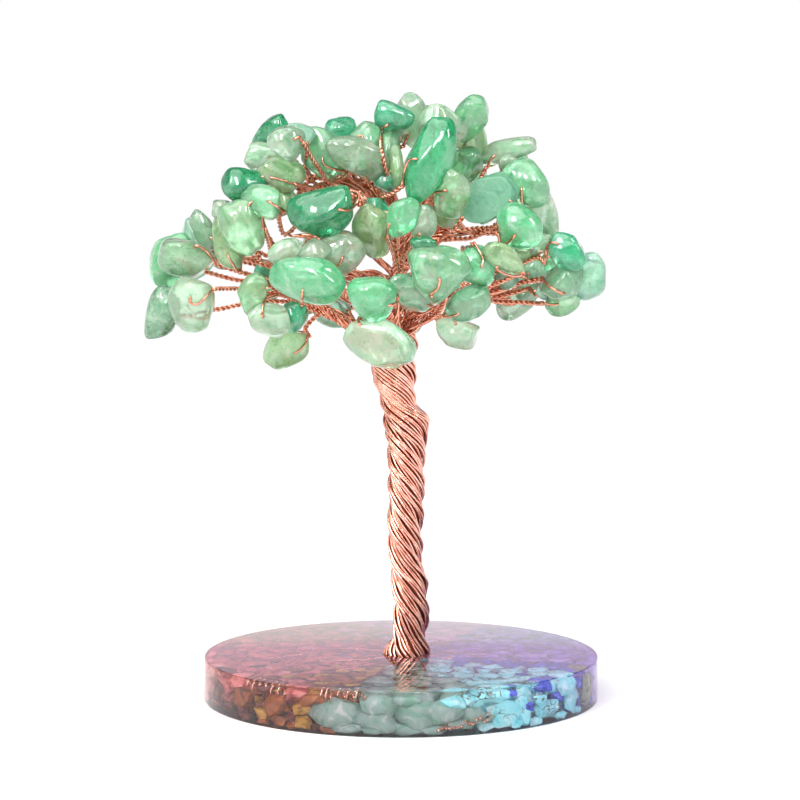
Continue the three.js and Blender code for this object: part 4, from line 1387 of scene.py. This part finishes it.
# The curled wire ends near the rim: from and to in degrees, out from the middle, and up
CURLS = [(220, 235, 37.2, -1.9), (247, 250, 37.6, -1.5), (252, 260, 37.6, -1.2)]


def spread_roots(gathered):
    """The strands that spread out inside the resin, just under its top."""
    rng = np.random.default_rng(41)
    for k in range(22):
        around = 2 * math.pi * (k + rng.uniform(-0.4, 0.4)) / 22
        reach = rng.uniform(9, 20)
        points = []
        for step in range(8):
            share = step / 7
            swing = around + 0.35 * share * math.sin(k * 2.3)
            up = -0.9 - 1.6 * share - 0.8 * math.sin(share * 3.1)
            points.append(round_middle(3.0 + (reach - 3.0) * share, swing, up, TRUNK[0][1]))
        add_strand(gathered, smooth_path(points, 0.8), STRAND_RADIUS)


def long_roots(gathered):
    """The long root wires, each a twisted pair with a third strand beside it."""
    for line in LONG_ROOTS:
        twisted_pair(gathered, smooth_path(line, TWIG_STEP))
        beside = [np.array(place) + LONG_ROOT_ASIDE for place in line]
        add_strand(gathered, smooth_path(beside, 0.5), 0.32)


def curls(gathered):
    """The curled wire ends, each a small coil along the rim."""
    for start, end, out, up in CURLS:
        turns = max(2, int(round((end - start) / 2.6)))
        points = []
        for step in range(turns * 10):
            share = step / (turns * 10 - 1)
            around = math.radians(start + (end - start) * share)
            swing = 2 * math.pi * turns * share
            points.append(round_middle(out + math.cos(swing), around, up + 0.95 * math.sin(swing)))
        add_strand(gathered, smooth_path(points, 0.3), STRAND_RADIUS)


def cut_ends(gathered):
    """The cut wire ends low behind the front wall."""
    for k in range(14):
        around = math.radians(280 + 1.1 * k)
        out = DISC_RADIUS - 0.45 - 0.3 * chance(k)
        up = -DISC_THICKNESS + 0.9 + 0.11 * k + 0.9 * chance(k + 0.5)
        tip = np.array(round_middle(out, around, up))
        away = np.array((-math.cos(around - 0.8), -math.sin(around - 0.8), 0.12))
        line = smooth_path([tip, tip + away * 2.5, tip + away * 5], 0.5)
        add_strand(gathered, line, STRAND_RADIUS * 1.15)


def wire_piece(name, gathered, materials):
    """A piece of copper wire, in place of a part of the CAD model's wire tree."""
    piece = gathered.piece(name, materials, "copper_wire")
    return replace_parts(piece, "wire_tree")


# Stage

# How far the camera looks down, in degrees
LOOK_DOWN = 4.66

# The soft boxes: place, width and height, and power. They face a place in the middle of the tree.
SOFT_LIGHTS = {
    "key": ((-0.35, -0.5, 0.62), (0.16, 0.2), 1.8),
    "fill": ((0.5, -0.35, 0.56), (0.1, 0.3), 1.3),
    "front": ((0.12, -0.6, 0.64), (0.14, 0.28), 2.1),
}
LIGHTS_AIM = np.array((0.0, 0.0, 0.07))
FLOOR_REACH = 4.0


def camera():
    """The camera at the photo's angle."""
    data = bpy.data.cameras.new("camera")
    data.lens = 111.6
    data.sensor_width = 36.0
    data.clip_start = 0.01
    place = (EYE[0] * MM, EYE[1] * MM, (EYE[2] + DISC_THICKNESS) * MM)
    turn = (math.radians(90 - LOOK_DOWN), 0.0, 0.0)
    bpy.context.scene.camera = place_object("camera", data, place, turn)


def soft_light(name, place, size, power):
    """A soft box that faces the tree."""
    data = bpy.data.lights.new(name, "AREA")
    data.shape = "RECTANGLE"
    data.size, data.size_y = size
    data.energy = power
    way = np.array(place) - LIGHTS_AIM
    tilt = math.acos(way[2] / np.linalg.norm(way))
    place_object(name, data, place, (tilt, 0.0, math.atan2(way[0], -way[1])))


def surroundings():
    """A studio with white walls, a band of pale lilac above them and a dark ceiling."""
    world = bpy.data.worlds.new("studio")
    world.use_nodes = True
    bpy.context.scene.world = world
    nodes, links = world.node_tree.nodes, world.node_tree.links
    spot = nodes.new("ShaderNodeTexCoord")
    parts = nodes.new("ShaderNodeSeparateXYZ")
    links.new(spot.outputs["Generated"], parts.inputs[0])
    sky = ramp(nodes, links, parts.outputs["Z"], [
        (0.0, (1.0,) * 3), (0.1, (1.0,) * 3), (0.15, (1.0, 0.85, 1.0)), (0.24, (1.0, 0.85, 1.0)),
        (0.48, (0.14, 0.13, 0.14)),
    ])
    links.new(sky, nodes["Background"].inputs["Color"])
    set_inputs(nodes["Background"], {"Strength": 1.0})


def ceiling_light():
    """The broad, soft light from above and a little to the front left."""
    data = bpy.data.lights.new("ceiling", "SUN")
    data.energy = 3.5
    data.angle = math.radians(80)
    place_object("ceiling", data, turn=(math.radians(22), math.radians(-16), 0.0))


def floor():
    """The plain pale floor, a hair below the disc's underside."""
    mesh = bpy.data.meshes.new("floor")
    corners = ((-1, -1), (1, -1), (1, 1), (-1, 1))
    places = [(x * FLOOR_REACH, y * FLOOR_REACH, -0.00005) for x, y in corners]
    mesh.from_pydata(places, [], [(0, 1, 2, 3)])
    material, nodes, links, shader, spot = new_material("floor")
    grain = greys(nodes, links, noise(nodes, links, spot, 3.0), (0.3, 0.9), (0.7, 0.93))
    links.new(grain, shader.inputs["Base Color"])
    set_inputs(shader, {"Roughness": 0.6})
    mesh.materials.append(material)
    place_object("floor", mesh)


def stage():
    """The camera, the studio, its lights and the floor."""
    bpy.context.scene.view_settings.view_transform = "Standard"
    camera()
    surroundings()
    ceiling_light()
    for name, values in SOFT_LIGHTS.items():
        soft_light(name, *values)
    floor()


def chips_and_twigs(metal):
    """A piece of chips for each clump, and all their twigs in a piece for each side."""
    stones = {name: green_stone(name, *values) for name, values in TINTS.items()}
    slots = {part["node"]: part["material_slot"] for part in frame["record"]["subparts"]}
    twigs = {"left": Gathered(), "right": Gathered()}
    for index, (name, (limb, _)) in enumerate(CLUMPS.items()):
        gathered = Gathered()
        tints = []
        for place, chip in enumerate(chips_of(name, index)):
            if chip["tint"] not in tints:
                tints.append(chip["tint"])
            share = tints.index(chip["tint"])
            gathered.add(chip_surface(chip, SPHERE_POINTS), SPHERE_FACES, share)
            side = "left" if chip["centre"][0] < 0 else "right"
            hook = HOOKS.get((name, place))
            chip_wire(twigs[side], limb, chip, hook, WAYS.get((name, place)))
        node = f"chips_{name}"
        piece = gathered.piece(f"stones_{name}", [stones[tint] for tint in tints], slots[node])
        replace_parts(piece, node)
    for side, gathered in twigs.items():
        wire_piece(f"twigs_{side}", gathered, [metal])


def limb_pieces(metal):
    """All the limbs, in one piece."""
    gathered = Gathered()
    for index, name in enumerate(LIMBS):
        limb_wires(gathered, name, index)
    wire_piece("limbs", gathered, [metal])


def trunk_piece(metal):
    """The trunk, with its core in dark copper that is painted shade."""
    gathered = Gathered()
    trunk_strands(gathered)
    kink_strands(gathered)
    trunk_core(gathered)
    wire_piece("trunk", gathered, [metal, core_copper_painted_shade()])


def root_piece(metal):
    """All the wire inside the resin."""
    gathered = Gathered()
    spread_roots(gathered)
    long_roots(gathered)
    curls(gathered)
    cut_ends(gathered)
    wire_piece("roots", gathered, [metal])


def build():
    """The tree on its stage."""
    stage()
    # The same copper twice: a lighter copy for the trunk and roots, and a darker copy for the twigs and
    # limbs in the crown, which is painted shade under the chips.
    metal = copper("copper", "#dc8e77", "#f7b9a3", "#ffe0d2")
    crown_copper_painted_shade = copper("copper_painted_shade_in_crown", "#b87058", "#de997e", "#f8c6ae")
    chips_and_twigs(crown_copper_painted_shade)
    limb_pieces(crown_copper_painted_shade)
    trunk_piece(metal)
    root_piece(metal)
    sealed_stones()
    disc_piece()


build()
bpy.context.view_layer.update()
